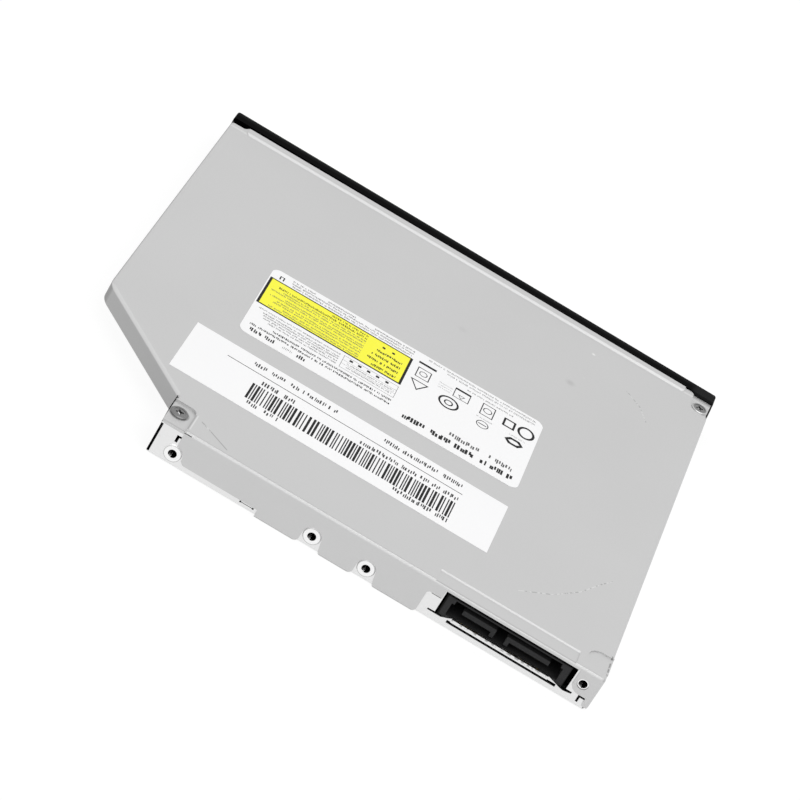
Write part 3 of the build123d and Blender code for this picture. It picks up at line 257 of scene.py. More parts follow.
class Finish(Nodes):
    """One finish of the drive: a material and the nodes that draw it."""

    def __init__(self, name, roughness=0.5, metallic=0.0, ior=1.45):
        self.material = bpy.data.materials.new(name)
        self.material.use_nodes = True
        super().__init__(self.material.node_tree)
        self.surface = self.tree.nodes["Principled BSDF"]
        self.put("Roughness", roughness)
        self.put("Metallic", metallic)
        self.put("IOR", ior)
        self.place = self.node("ShaderNodeTexCoord", output="Object")

    def put(self, socket, value):
        """Sets or links one socket of the surface."""
        self.join(self.surface.inputs[socket], value)

    def axes(self):
        """The place in case-frame millimetres, as three values."""
        parts = self.tree.nodes.new("ShaderNodeSeparateXYZ")
        self.join(parts.inputs[0], self.place)
        x, y, z = (Value(self, socket) for socket in parts.outputs)
        return x * PER_METRE, y * PER_METRE + MIDDLE_Y, z * PER_METRE

    def noise(self, grain, detail=2.0, stretch=(1.0, 1.0, 1.0)):
        """Noise from 0 to 1 with lumps about grain mm across, longer where stretch is small."""
        place = self.place
        if stretch != (1.0, 1.0, 1.0):
            place = self.node("ShaderNodeMapping", {}, {"Vector": place, "Scale": stretch})
        values = {"Vector": place, "Scale": PER_METRE / grain, "Detail": detail}
        return self.node("ShaderNodeTexNoise", {}, values)

    def cells(self, size):
        """Distance to the nearest of scattered points about size mm apart."""
        values = {"Vector": self.place, "Scale": PER_METRE / size}
        return self.node("ShaderNodeTexVoronoi", {}, values)

    def ramp(self, value, low, high, to_low=0.0, to_high=1.0):
        """A smooth step from to_low below low to to_high above high."""
        return self.node("ShaderNodeMapRange", {"interpolation_type": "SMOOTHSTEP"},
                         {0: value, 1: low, 2: high, 3: to_low, 4: to_high})

    def fall(self, value, low, high):
        """A smooth step from 1 below low to 0 above high."""
        return self.ramp(value, low, high, 1.0, 0.0)

    def mix(self, factor, first, second):
        """One colour where factor is 0 and another where it is 1. A plain number is a grey."""
        values = {0: factor, 6: opaque(first), 7: opaque(second)}
        return self.node("ShaderNodeMix", {"data_type": "RGBA"}, values, output=2)

    def paint(self, factor, first, second):
        """The surface's colour, mixed from two."""
        self.put("Base Color", self.mix(factor, first, second))

    def tint(self, base, spread, value):
        """The base colour, darker by spread where value is 0 and lighter where it is 1."""
        self.paint(value, scaled(base, 1 - spread), scaled(base, 1 + spread))

    def gloss(self, value, low, high):
        """Roughness from low to high as value goes from 0.2 to 0.8."""
        self.put("Roughness", self.ramp(value, 0.2, 0.8, low, high))

    def relief(self, height, depth):
        """Bump from a height of 0 to 1, depth mm deep."""
        values = {"Height": height, "Distance": depth * MM}
        self.put("Normal", self.node("ShaderNodeBump", {}, values))

    def stroke(self, x, y, start, end, width):
        """A mask, 1 on a straight scratch from start to end and 0 beyond its width.

        The place is cast on the line, the foot is held between the ends, and the mask falls
        with the distance to that foot."""
        reach = math.dist(start, end)
        run_x, run_y = (end[0] - start[0]) / reach, (end[1] - start[1]) / reach
        foot = ((x - start[0]) * run_x + (y - start[1]) * run_y).larger(0.0).smaller(reach)
        return self.fall(distance(x - foot * run_x, y - foot * run_y, start), 0.0, width)

    def dome(self, x, y, centre, radius):
        """A mask, 1 at a centre and falling smoothly to 0 at radius."""
        return self.fall(distance(x, y, centre), 0.0, radius)

    def dress(self, *pieces):
        """Puts the finish on nodes, by name, or on new pieces."""
        for piece in pieces:
            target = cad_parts[piece] if isinstance(piece, str) else piece
            if not target.material_slots:
                target.data.materials.append(self.material)
            for slot in target.material_slots:
                slot.material = self.material
        return self


# Finishes


def sheet_steel(name, base, roughness, stretch=(1.0, 1.0, 1.0)):
    """Rolled sheet: faint cloudy tone, fine grain in colour, gloss and relief."""
    finish = Finish(name, metallic=1.0)
    cloud = finish.noise(26.0, 3.0)
    fine = finish.noise(0.5, 3.0, stretch)
    finish.tint(base, 0.05, cloud * 0.5 + fine * 0.5)
    finish.gloss(fine * 0.6 + cloud * 0.4, roughness - 0.05, roughness + 0.07)
    finish.relief(fine, 0.004)
    return finish


# Two scuffs in the cover, each a chain of places
COVER_SCUFFS = [
    [(-40.4, 113.8), (-47.2, 108.4), (-52.2, 102.0), (-55.9, 94.7), (-57.7, 91.8)],
    [(-44.5, 16.1), (-48.6, 19.4), (-51.3, 24.3)],
]


def cover_wear(finish, x, y):
    """Masks of the cover's scuffs and crease, part worn bright and part torn dark."""
    marks = finish.stroke(x, y, (32.1, 120.4), (29.8, 121.8), 0.3)
    for chain in COVER_SCUFFS:
        for start, end in zip(chain[:-1], chain[1:]):
            marks = marks.larger(finish.stroke(x, y, start, end, 0.22) * 0.8)
    broken = finish.ramp(finish.noise(0.9), 0.42, 0.58)
    return marks * broken, marks * (1.0 - broken)


def cover_edges(finish, x, y, z):
    """Masks of the cover's bends: painted highlights on those that catch light, painted shade on
    those that stay dark.
    """
    from_strip = y - (x - STRIP_RIGHT) * math.tan(STRIP_TURN)
    # Painted highlight on the rear slope of the front strip
    slope = finish.ramp(from_strip, 2.8, 3.0) * finish.fall(from_strip, 3.65, 3.8)
    # Painted shade on the bend down to the rear wall
    rear_bend = finish.ramp(z, 8.4, 8.6) * finish.fall(y, 126.35, 126.5)
    rear_bend = finish.ramp(y, 125.85, 125.95) * rear_bend
    # Painted shade along the step over the connector
    step = finish.fall((x - STEP_MIDDLE[0]).size(), 16.1, 16.4)
    step = step * finish.fall((y - STEP_MIDDLE[1]).size(), 0.2, 0.4)
    # Painted shade on the short wall at the 45 degree cut and on the skirt at the right, and a
    # painted highlight on the wall's upper rim
    beyond = finish.ramp(x, 38.9, 39.3)
    upright = finish.fall(z, 8.4, 8.7) * beyond
    past_cut = (x - CUT_START[0]) * CUT_OUT[0] + (y - CUT_START[1]) * CUT_OUT[1]
    rim = finish.ramp(past_cut, -0.85, -0.5) * finish.ramp(z, 8.6, 8.8) * beyond
    short_wall = finish.ramp(past_cut, -1.4, -0.2) * upright * 0.30
    skirt = (finish.ramp(x, 61.5, 63.6) * upright * 0.55).larger(finish.ramp(x, 63.65, 63.95) * 0.5)
    # light gathers the painted highlights, dark the painted shade
    light = (slope * 0.22).larger(rim * 0.14)
    dark = (rear_bend * 0.16).larger(step * 0.05).larger(short_wall).larger(skirt)
    return light, dark


def cover_finish(base):
    """The cover's satin zinc: fine grain, with the dents, scuffs and creases of handling, and
    painted highlights and shade at its bends, by the tab, round the rear screw and along its rims.
    """
    finish = Finish("cover satin zinc", metallic=0.85)
    x, y, z = finish.axes()
    cloud = finish.noise(34.0)
    fine = finish.noise(0.35, 3.0)
    wear_and_glint, torn = cover_wear(finish, x, y)
    # light and dark hold the bends' painted highlights and painted shade
    light, dark = cover_edges(finish, x, y, z)
    dent = finish.dome(x, y, (-32.0, 26.4), 1.7)
    spot = finish.dome(x, y, (-5.2, 30.7), 1.6)
    chip = finish.dome(x, y, (-34.1, 9.0), 0.7)
    specks = finish.fall(finish.cells(17.0), 0.0, 0.016)
    fold = finish.stroke(x, y, (30.2, 121.5), (25.0, 124.7), 0.22)
    # Painted shadow along the rim at -X, where the real cover's rim has a notch
    gap = finish.stroke(x, y, (-63.5, 117.3), (-63.7, 122.9), 0.3)
    gap = gap * finish.ramp(finish.noise(1.2), 0.35, 0.5)
    # Painted shadow along the foot of the rear wall, against the chassis
    rear_foot_shadow = finish.fall(z, 0.12, 0.34) * finish.ramp(y, REAR_Y, 126.2)
    # Painted shade in a ring round the rear screw's head
    head_ring_shade = finish.fall((distance(x, y, REAR_SCREW) - 2.1).size(), 0.0, 0.35)
    # Painted shade beside the tab by the rear screw, and a painted highlight along it
    tab_shade = finish.stroke(x, y, (33.85, 119.4), (33.85, 125.4), 0.28)
    glint = finish.stroke(x, y, (33.45, 119.2), (33.45, 125.0), 0.25)
    lit_tone = finish.mix(cloud * 0.7 + fine * 0.3, scaled(base, 0.955), scaled(base, 1.045))
    # Painted highlights and shade of the bends, then a painted highlight along the tab
    lit_tone = finish.mix(dark, finish.mix(light, lit_tone, 0.95), 0.0)
    lit_tone = finish.mix(glint * 0.35, lit_tone, 0.95)
    # Real dents, scuffs and the fold, gathered with the painted shade and shadows above
    marks = (dent * 0.28 + spot * 0.1).larger(gap).larger(rear_foot_shadow * 0.6).larger(fold * 0.8)
    marks = marks.larger(torn * 0.85).larger(head_ring_shade * 0.7).larger(tab_shade * 0.55)
    bright = (wear_and_glint * 0.55).larger(chip * 0.9).larger(specks * 0.5)
    finish.paint(bright, finish.mix(marks, lit_tone, scaled(base, 0.45)), 0.82)
    finish.put("Roughness", finish.ramp(fine, 0.25, 0.75, 0.40, 0.50) - wear_and_glint * 0.14)
    finish.relief(fine * 0.10 + cloud * 0.5 - dent * 0.9 - wear_and_glint * 0.55, 0.02)
    return finish


def chassis_finish(base):
    """Bright steel of the pan: rolled grain, and burrs and soot on the lip under the connector."""
    finish = Finish("chassis bright steel", metallic=1.0)
    x, y, z = finish.axes()
    cloud = finish.noise(26.0, 3.0)
    fine = finish.noise(0.6, 3.0, (1.0, 0.4, 1.0))
    rear = finish.ramp(y, 125.9, REAR_Y)
    lip = finish.fall((x - LIP_MIDDLE[0]).size(), 11.2, 11.6)
    lip = lip * finish.fall((z - LIP_MIDDLE[1]).size(), 0.1, 0.3)
    burrs = lip * rear * finish.ramp(finish.noise(0.9), 0.48, 0.58)
    rust = finish.ramp(finish.noise(3.4, 3.0), 0.62, 0.72) * rear * 0.08
    steel = finish.mix(cloud * 0.5 + fine * 0.5, scaled(base, 0.95), scaled(base, 1.05))
    finish.paint((burrs * 0.6).larger(rust), steel, 0.08)
    finish.gloss(fine * 0.6 + cloud * 0.4, 0.25, 0.37)
    finish.relief(fine + burrs * 2.0, 0.006)
    return finish


def film_finish(name, base):
    """A printed plastic film: nearly flat, with a faint mottle and orange peel."""
    finish = Finish(name)
    peel = finish.noise(1.1)
    mottle = finish.noise(14.0)
    finish.tint(base, 0.012, mottle)
    finish.gloss(peel, 0.38, 0.48)
    finish.relief(peel, 0.003)
    return finish


def ink_finish(name, base):
    """Thermal print: dark with a slightly uneven density."""
    finish = Finish(name)
    finish.put("Specular IOR Level", 0.08)
    density = finish.noise(0.3)
    finish.paint(density, base, scaled(base, 1.0, 0.02))
    finish.gloss(density, 0.38, 0.55)
    return finish


def moulding(name, base, roughness, grain=0.22, depth=0.012, coat=0.0):
    """Moulded plastic: the spark-eroded grain of the tool, flow clouds and a worn sheen."""
    finish = Finish(name)
    pebble = finish.cells(grain)
    cloud = finish.noise(9.0, 3.0)
    finish.tint(base, 0.16, cloud * 0.6 + pebble * 0.4)
    finish.gloss(cloud * 0.5 + pebble * 0.5, roughness - 0.07, roughness + 0.08)
    finish.put("Coat Weight", coat)
    finish.relief(pebble, depth)
    return finish


def cast_metal(name, base, roughness):
    """Die casting: rounded lumps, darker hollows and fine pits."""
    finish = Finish(name, metallic=0.9)
    lumps = finish.noise(2.4, 4.0)
    pits = finish.cells(0.5)
    finish.tint(base, 0.14, lumps * 0.6 + pits * 0.4)
    finish.put("Roughness", finish.ramp(lumps, 0.25, 0.75, roughness + 0.08, roughness - 0.08))
    finish.relief(lumps * 0.7 + pits * 0.3, 0.03)
    return finish


def turned_metal(name, base, roughness):
    """Metal turned on a lathe: fine rings about the hub's axis."""
    finish = Finish(name, metallic=1.0)
    x, y, _ = finish.axes()
    rings = (distance(x, y, HUB) * 26.0 + finish.noise(3.0) * 2.0).sine() * 0.5 + 0.5
    finish.tint(base, 0.06, rings)
    finish.put("Roughness", finish.ramp(rings, 0.0, 1.0, roughness - 0.06, roughness + 0.07))
    finish.relief(rings, 0.004)
    return finish


def ground_metal(name, base, roughness, along):
    """Ground steel: short grinding lines across an axis, and small bright wear marks."""
    finish = Finish(name, metallic=1.0)
    stretch = tuple(0.08 if axis == along else 1.0 for axis in "xyz")
    lines = finish.noise(0.16, 3.0, stretch)
    wear = finish.noise(4.0)
    finish.tint(base, 0.08, lines * 0.5 + wear * 0.5)
    finish.gloss(lines, roughness - 0.06, roughness + 0.08)
    finish.relief(lines, 0.003)
    return finish


def screw_finish():
    """Dark nickel heads, turned in fine rings, with the middle painted black as shade, a painted
    highlight on the front screw's rim and a painted glint on each head.
    """
    finish = Finish("screw head dark nickel", metallic=1.0)
    x, y, _ = finish.axes()
    near = distance(x, y, REAR_SCREW).smaller(distance(x, y, FRONT_SCREW))
    # Painted shade: the middle of each head is painted near black
    recess = finish.fall(near, 0.35, 0.75)
    # Painted highlight on the rim of the front screw
    painted_edge = finish.ramp(near, 1.55, 1.85) * finish.fall(y, 50.0, 60.0)
    grain = finish.noise(0.3, 3.0)
    rings = (near * 30.0).sine() * 0.5 + 0.5
    rim = finish.mix(painted_edge, finish.mix(grain * 0.6 + rings * 0.4, 0.13, 0.30), 0.55)
    # Painted glint near the middle of each head, white and glossy
    glint_spots = [finish.dome(x - 0.1, y - 0.15, place, 0.6) for place in (REAR_SCREW, FRONT_SCREW)]
    wear_and_glint = finish.ramp(glint_spots[0].larger(glint_spots[1]), 0.3, 0.5)
    finish.paint(wear_and_glint, finish.mix(recess * 0.85, rim, 0.012), 1.0)
    finish.gloss(grain, 0.24, 0.38)
    finish.relief(grain * 0.5 + rings * 0.5, 0.01)
    return finish


def nut_finish():
    """Bright plate, with a line of painted shade round each flange, also sunk in the relief and
    rougher, and plain faces within.
    """
    finish = Finish("nut bright plate", metallic=1.0)
    x, y, z = finish.axes()
    near = reduce(Value.smaller, [distance(x, z, place) for place in REAR_NUTS])
    grain = finish.noise(0.4, 3.0)
    # Painted shade in a line round each flange, also sunk in the relief
    line = finish.fall((near - NUT_FLANGE_R).size(), 0.04, 0.12) * finish.ramp(y, REAR_Y, 126.2)
    finish.paint(line * 0.55, finish.mix(grain, 0.86, 0.95), 0.2)
    finish.put("Roughness", finish.ramp(grain, 0.2, 0.8, 0.18, 0.28) + line * 0.15)
    finish.relief(grain * 0.4 - line, 0.02)
    return finish


def thread_finish():
    """Threads painted near black as shade inside the bores, with a painted highlight below the
    middle of each bore, towards +X.
    """
    finish = Finish("nut thread plate", metallic=1.0)
    x, _, z = finish.axes()
    # Painted highlight below the middle of each bore, towards +X; elsewhere the threads are painted
    # near black as shade inside the bore
    glint_spots = [finish.dome(x - 0.35, z + 0.75, place, 0.55) for place in REAR_NUTS]
    flank = reduce(Value.larger, glint_spots)
    grain = finish.noise(0.3, 3.0)
    lit_tone = finish.ramp(flank + grain * 0.3, 0.45, 0.6)
    finish.paint(lit_tone, 0.012, 0.85)
    finish.gloss(grain, 0.3, 0.45)
    return finish


def board_finish(base):
    """Solder mask over copper: lighter tracks in stepped rows, ground fill and tinned pads."""
    finish = Finish("board solder mask")
    flat = {"Vector": finish.place, "Scale": (1.0, 1.0, 0.0)}
    place = finish.node("ShaderNodeMapping", {}, flat)
    rows = {"Vector": place, "Scale": 110.0, "Color1": opaque(0.0), "Color2": opaque(0.0),
            "Mortar": opaque(1.0), "Mortar Size": 0.035, "Brick Width": 0.9, "Row Height": 0.11}
    steps = {"offset": 0.5, "squash": 1.6, "squash_frequency": 3}
    tracks = finish.node("ShaderNodeTexBrick", steps, rows)
    area = finish.ramp(finish.noise(9.0, 1.0), 0.47, 0.5)
    lines = finish.node("ShaderNodeSeparateColor", {}, [tracks]) * area
    pads = finish.fall(finish.cells(2.6), 0.075, 0.085) * (1.0 - area)
    copper = finish.mix(lines, base, scaled(base, 1.9, 0.01))
    _, y, _ = finish.axes()
    rear = finish.ramp(y, 116.0, 118.0)
    whole = finish.mix(pads, copper, (0.72, 0.70, 0.66))
    finish.paint(rear, whole, (0.004, 0.006, 0.005))
    finish.put("Metallic", pads * 0.9 * (1.0 - rear))
    finish.gloss(finish.noise(1.5), 0.28, 0.40)
    finish.relief(lines * 0.6 + pads, 0.02)
    return finish


def plug_finish():
    """The connector's black nylon, with painted shadow where it meets the edges of its opening."""
    finish = Finish("connector nylon")
    x, _, z = finish.axes()
    pebble = finish.cells(0.3)
    cloud = finish.noise(5.0, 3.0)
    # Painted shadow at both ends of the housing and along its top, in the gap round it
    sides = finish.ramp(x, -28.5, -28.2).larger(finish.fall(x, -57.2, -56.9))
    painted_edge = finish.ramp(z, 7.0, 7.2).larger(sides)
    tone = finish.mix(cloud * 0.6 + pebble * 0.4, (0.024, 0.024, 0.025), (0.036, 0.036, 0.037))
    finish.paint(painted_edge, tone, 0.002)
    finish.gloss(cloud, 0.42, 0.55)
    finish.put("Specular IOR Level", 0.12)
    finish.relief(pebble, 0.01)
    return finish


def bezel_finish(base):
    """The bezel's black moulding: a painted sheen makes it a little greyer towards its front and
    near its end at -X, and it is a little greyer on the side arm.
    """
    finish = Finish("bezel moulding")
    x, y, _ = finish.axes()
    pebble = finish.cells(0.2)
    cloud = finish.noise(9.0, 3.0)
    # Painted sheen: greyer towards the front and near the end at -X
    front = finish.fall(y, -3.9, -1.6).larger(finish.fall(x, -59.5, -57.5))
    arm = finish.fall(x, -63.2, -62.8) * finish.ramp(y, 0.5, 5.0)
    black = finish.mix(cloud * 0.6 + pebble * 0.4, scaled(base, 0.7), base)
    shade = finish.mix(front, black, (0.016, 0.016, 0.0165))
    finish.paint(arm * 0.8, shade, 0.09)
    finish.gloss(cloud * 0.5 + pebble * 0.5, 0.40, 0.54)
    finish.put("Specular IOR Level", 0.012)
    finish.relief(pebble, 0.006)
    return finish


def chip_finish():
    """Moulded epoxy: matte black with a fine sparkle of filler, and bright leads below."""
    finish = Finish("chip epoxy")
    x, y, z = finish.axes()
    leads = finish.fall(z, 2.235, 2.255) * finish.ramp(z, 2.05, 2.09)
    pins = finish.ramp((x * 9.6).sine().larger((y * 9.6).sine()), 0.1, 0.3)
    tin = leads * pins
    filler = finish.noise(0.12)
    body = finish.mix(filler, (0.018, 0.018, 0.02), (0.034, 0.034, 0.036))
    finish.paint(tin, body, (0.68, 0.67, 0.64))
    finish.put("Metallic", tin)
    finish.put("Roughness", finish.ramp(filler, 0.2, 0.8, 0.5, 0.66) - tin * 0.25)
    finish.relief(filler, 0.006)
    return finish


def parts_finish():
    """Small chip components: tan bodies between tinned ends."""
    finish = Finish("component ceramic")
    _, y, z = finish.axes()
    speck = finish.noise(0.25, 3.0)
    ends = finish.ramp(((y - 0.5) * 1.96).sine().size(), 0.72, 0.8)
    body = finish.mix(speck, (0.30, 0.20, 0.11), (0.46, 0.34, 0.20))
    finish.paint(ends * 0.85, body, (0.66, 0.66, 0.64))
    finish.put("Metallic", ends * 0.85)
    finish.put("Roughness", finish.ramp(z + speck * 0.3, 2.2, 3.2, 0.36, 0.5))
    finish.relief(speck, 0.01)
    return finish


def stripe_finish(name, ground, stripe, pitch, share, metallic):
    """A flat cable or a row of contacts: conductors run along Y at an even pitch across X."""
    finish = Finish(name)
    x, _, _ = finish.axes()
    wave = (x * (2 * math.pi / pitch)).sine()
    lines = finish.ramp(wave, share - 0.12, share + 0.12)
    haze = finish.noise(2.2)
    finish.paint(lines, finish.mix(haze, scaled(ground, 0.94), ground), stripe)
    finish.put("Metallic", lines * metallic)
    finish.gloss(haze, 0.26, 0.4)
    finish.relief(lines * 0.8 + haze * 0.2, 0.02)
    return finish


def coil_finish():
    """Enamelled wire in side by side turns round the solenoid."""
    finish = Finish("coil copper wire", metallic=0.8)
    x, y, _ = finish.axes()
    turns = ((x + y * 0.02) * 26.0).sine() * 0.5 + 0.5
    tone = finish.noise(1.2)
    finish.paint(turns * 0.7 + tone * 0.3, (0.22, 0.075, 0.025), (0.62, 0.27, 0.10))
    finish.gloss(tone, 0.26, 0.42)
    finish.relief(turns, 0.06)
    return finish


def lens_finish():
    """Coated glass: clear, with a faint violet sheen towards the rim."""
    finish = Finish("lens coated glass", roughness=0.02, ior=1.6)
    rim = finish.node("ShaderNodeLayerWeight", {}, {"Blend": 0.35}, output="Facing")
    finish.paint(rim, (0.62, 0.72, 0.95), (0.55, 0.45, 0.85))
    finish.put("Transmission Weight", 0.85)
    finish.put("Coat Weight", 0.6)
    dust = finish.noise(0.4, 3.0)
    finish.put("Roughness", finish.ramp(dust, 0.45, 0.8, 0.02, 0.12))
    return finish


def lamp_finish():
    """Clear moulding of the light guide, with a little haze."""
    finish = Finish("lamp clear moulding", roughness=0.15, ior=1.49)
    haze = finish.noise(0.8, 3.0)
    finish.paint(haze, (0.66, 0.72, 0.64), (0.84, 0.88, 0.80))
    finish.gloss(haze, 0.12, 0.28)
    finish.put("Transmission Weight", 0.5)
    finish.relief(haze, 0.01)
    return finish


# Surfaces


def grid_mesh(name, points):
    """A mesh from points[along, around]: quads between neighbours, joined round each ring,
    with the first and last ring closed by one face each."""
    rows, ring = points.shape[:2]
    index = np.arange(rows * ring).reshape(rows, ring)
    after = np.roll(index, -1, 1)
    quads = np.stack([index[:-1], after[:-1], after[1:], index[1:]], -1).reshape(-1, 4)
    faces = [*quads.tolist(), index[0, ::-1].tolist(), index[-1].tolist()]
    return solid(name, points.reshape(-1, 3), faces)


def solid(name, points, faces):
    """A new object from case-frame points and faces, shaded smooth below 40 degrees."""
    mesh = bpy.data.meshes.new(name)
    mesh.from_pydata(metres(points).tolist(), [], faces)
    mesh.validate()
    mesh.shade_smooth()
    mesh.set_sharp_from_angle(angle=math.radians(40))
    piece = bpy.data.objects.new(name, mesh)
    bpy.context.scene.collection.objects.link(piece)
    return piece


def on_sticker(u, v, height, centre, turn):
    """Places of a sticker to the case frame: a turn about the sticker's centre."""
    c, s = math.cos(turn), math.sin(turn)
    return np.stack([centre[0] + u * c - v * s, centre[1] + u * s + v * c, height], -1)


def ink_bars(boxes, low, high, centre, turn):
    """Flat bars of print: every row of boxes is u0, u1, v0, v1 on the sticker, and each bar is
    a closed box from low to high."""
    boxes = np.asarray(boxes, float)
    u = boxes[:, [0, 1, 1, 0]]
    v = boxes[:, [2, 2, 3, 3]]
    rings = [on_sticker(u, v, np.full_like(u, height), centre, turn) for height in (low, high)]
    corner = np.array([[3, 2, 1, 0], [4, 5, 6, 7], [0, 1, 5, 4],
                       [1, 2, 6, 5], [2, 3, 7, 6], [3, 0, 4, 7]])
    faces = corner[None] + 8 * np.arange(len(boxes))[:, None, None]
    return np.concatenate(rings, 1).reshape(-1, 3), faces.reshape(-1, 4).tolist()


def closed_quads(index):
    """Quads between neighbours of an index grid that is joined both ways, as on a ring."""
    after = np.roll(index, -1, 0)
    quads = np.stack([index, np.roll(index, -1, 1), np.roll(after, -1, 1), after], -1)
    return quads.reshape(-1, 4).tolist()


def outlines(shapes, low, high, centre, turn):
    """Closed outlines of an even line: points at even angles round an oval or a regular
    polygon, and the same ones drawn in by the line's width, joined as a flat band."""
    points, faces, start = [], [], 0
    for u, v, wide, tall, corners, width, tilt in shapes:
        count = corners or 40
        angle = math.radians(tilt) + np.arange(count) * 2 * math.pi / count
        circle = np.stack([np.cos(angle), np.sin(angle)], -1)
        inset = width / math.cos(math.pi / count)
        rings = [circle * (wide, tall), circle * (wide - inset, tall - inset)]
        band = np.concatenate([rings[0], rings[0], rings[1], rings[1]]) + (u, v)
        height = np.repeat([low, high, high, low], count)
        points.append(on_sticker(band[:, 0], band[:, 1], height, centre, turn))
        index = start + np.arange(4 * count).reshape(4, count)
        faces += closed_quads(index)
        start += 4 * count
    return np.concatenate(points), faces


def print_rows(rows, seed):
    """Rows of greeked print: thin upright strokes of several heights, in words.

    A row is u0, u1, v, height and weight, where weight is the share of each step that is ink.
    A step is 0.24 to 0.44 of the height, and about one in eleven has a gap before it. A third
    of the strokes stop short at the top and a third at the foot."""
    rng = np.random.default_rng(seed)
    parts = []
    for u0, u1, v, height, weight in rows:
        count = int((u1 - u0) / (height * 0.24)) + 4
        step = height * rng.uniform(0.24, 0.44, count)
        word = rng.random(count) < 0.09
        left = u0 + np.cumsum(step + word * height * 0.45) - step[0]
        right = left + step * weight
        kind = rng.integers(0, 3, count)
        low = v - height / 2 + np.where(kind == 1, height * 0.28, 0.0)
        high = v + height / 2 - np.where(kind == 2, height * 0.28, 0.0)
        keep = right < u1
        parts.append(np.stack([left, right, low, high], -1)[keep])
    return np.concatenate(parts)


def bar_code(u0, u1, v0, v1, seed):
    """Upright bars of one or two modules, with gaps of one or two, over the whole width."""
    rng = np.random.default_rng(seed)
    modules = rng.choice([1, 2], BAR_RUNS, p=[0.6, 0.4])
    edges = np.concatenate([[0], np.cumsum(modules)]) / modules.sum() * (u1 - u0) + u0
    left, right = edges[:-1:2], edges[1::2]
    return np.stack([left, right, np.full_like(left, v0), np.full_like(left, v1)], -1)


def merged(*groups):
    """Joins several pairs of points and faces into one."""
    points, faces, start = [], [], 0
    for some_points, some_faces in groups:
        points.append(some_points)
        faces += [[i + start for i in face] for face in some_faces]
        start += len(some_points)
    return np.concatenate(points), faces


def rounded_path(corners, radius, steps=8):
    """A path through corners in a plane, each inner corner replaced by an arc of the radius."""
    corners = np.asarray(corners, float)
    pieces = [corners[:1]]
    for before, corner, after in zip(corners[:-2], corners[1:-1], corners[2:]):
        come = (corner - before) / np.linalg.norm(corner - before)
        leave = (after - corner) / np.linalg.norm(after - corner)
        bend = math.acos(float(np.clip(come @ leave, -1, 1)))
        cut = radius * math.tan(bend / 2)
        side = leave - come * (come @ leave)
        side /= np.linalg.norm(side)
        angle = np.linspace(0, bend, steps + 1)[:, None]
        middle = corner - come * cut + side * radius
        pieces.append(middle + radius * (np.sin(angle) * come - np.cos(angle) * side))
    pieces.append(corners[-1:])
    return np.concatenate(pieces)


def fill_in(path, longest):
    """More points on the long straight runs of a path, no further apart than longest."""
    runs = np.linalg.norm(np.diff(path, axis=0), axis=1)
    counts = np.maximum(1, np.ceil(runs / longest)).astype(int)
    parts = [a + (b - a) * (np.arange(n) / n)[:, None]
             for a, b, n in zip(path[:-1], path[1:], counts)]
    return np.concatenate([*parts, path[-1:]])


def ribbon(name, path, x0, x1, thickness):
    """A flat cable: a thin rectangle carried along a path in the Y-Z plane.

    At each point the rectangle's short side lies along the path's normal, which is the
    direction to the next point turned by a quarter."""
    run = np.gradient(path, axis=0)
    run /= np.linalg.norm(run, axis=1)[:, None]
    normal = np.stack([-run[:, 1], run[:, 0]], -1) * thickness / 2
    sides = [(x0, -1), (x1, -1), (x1, 1), (x0, 1)]
    rings = [np.concatenate([np.full((len(path), 1), x), path + normal * side], 1)
             for x, side in sides]
    return grid_mesh(name, np.stack(rings, 1)[:, ::-1])


def lead_thread(name, depth, lead):
    """The lead screw: along the axis the radius is the core, less a rounded groove whose phase
    turns twice round in one lead; at both ends it steps down to the journals."""
    start, end = LEAD_ENDS
    along = np.linspace(start, end, int((end - start) / lead * 20) + 1)
    around = np.arange(28) * 2 * math.pi / 28
    phase = around[None] - along[:, None] * 4 * math.pi / lead
    groove = np.clip(np.cos(phase) * 1.6, -1, 1) * 0.5 + 0.5
    fade = np.clip(np.minimum(along - start, end - along) / 0.8, 0, 1)[:, None]
    threaded = LEAD_CORE_R - depth * groove * fade
    journals = np.full((2, 28), LEAD_JOURNAL_R)
    position = np.concatenate([[start - LEAD_JOURNALS[0], start], along,
                               [end, end + LEAD_JOURNALS[1]]])
    radius = np.concatenate([journals, threaded, journals])
    across, height = LEAD_AXIS
    points = np.stack([np.repeat(position[:, None], 28, 1), across + radius * np.cos(around),
                       height + radius * np.sin(around)], -1)
    return grid_mesh(name, from_deck(points))


def wound_wire(name, centre, start, end, radius, wire, turns):
    """The eject spring: a round wire carried along a helix about the Y axis.

    The pitch is the wire's own over the first and last turn, which are closed, and even
    between them."""
    turn = np.linspace(0, turns, turns * 26 + 1)
    open_turns = (turn >= 1) & (turn <= turns - 1)
    closed = wire * 1.05
    rate = np.where(open_turns, (end - start - wire - 2 * closed) / (turns - 2), closed)
    rise = np.concatenate([[0], np.cumsum((rate[1:] + rate[:-1]) / 2 * np.diff(turn))])
    height = start + wire / 2 + rise * (end - start - wire) / rise[-1]
    angle = turn * 2 * math.pi
    out = np.stack([np.cos(angle), np.zeros_like(angle), np.sin(angle)], -1)
    axis = np.stack([np.full_like(angle, centre[0]), height, np.full_like(angle, centre[1])], -1)
    middle = out * (radius - wire / 2) + axis
    run = np.gradient(middle, axis=0)
    run /= np.linalg.norm(run, axis=1)[:, None]
    side = np.cross(run, out)
    around = (np.arange(10) * 2 * math.pi / 10)[None, :, None]
    ring = np.cos(around) * out[:, None] + np.sin(around) * side[:, None]
    return grid_mesh(name, middle[:, None] + wire / 2 * ring)


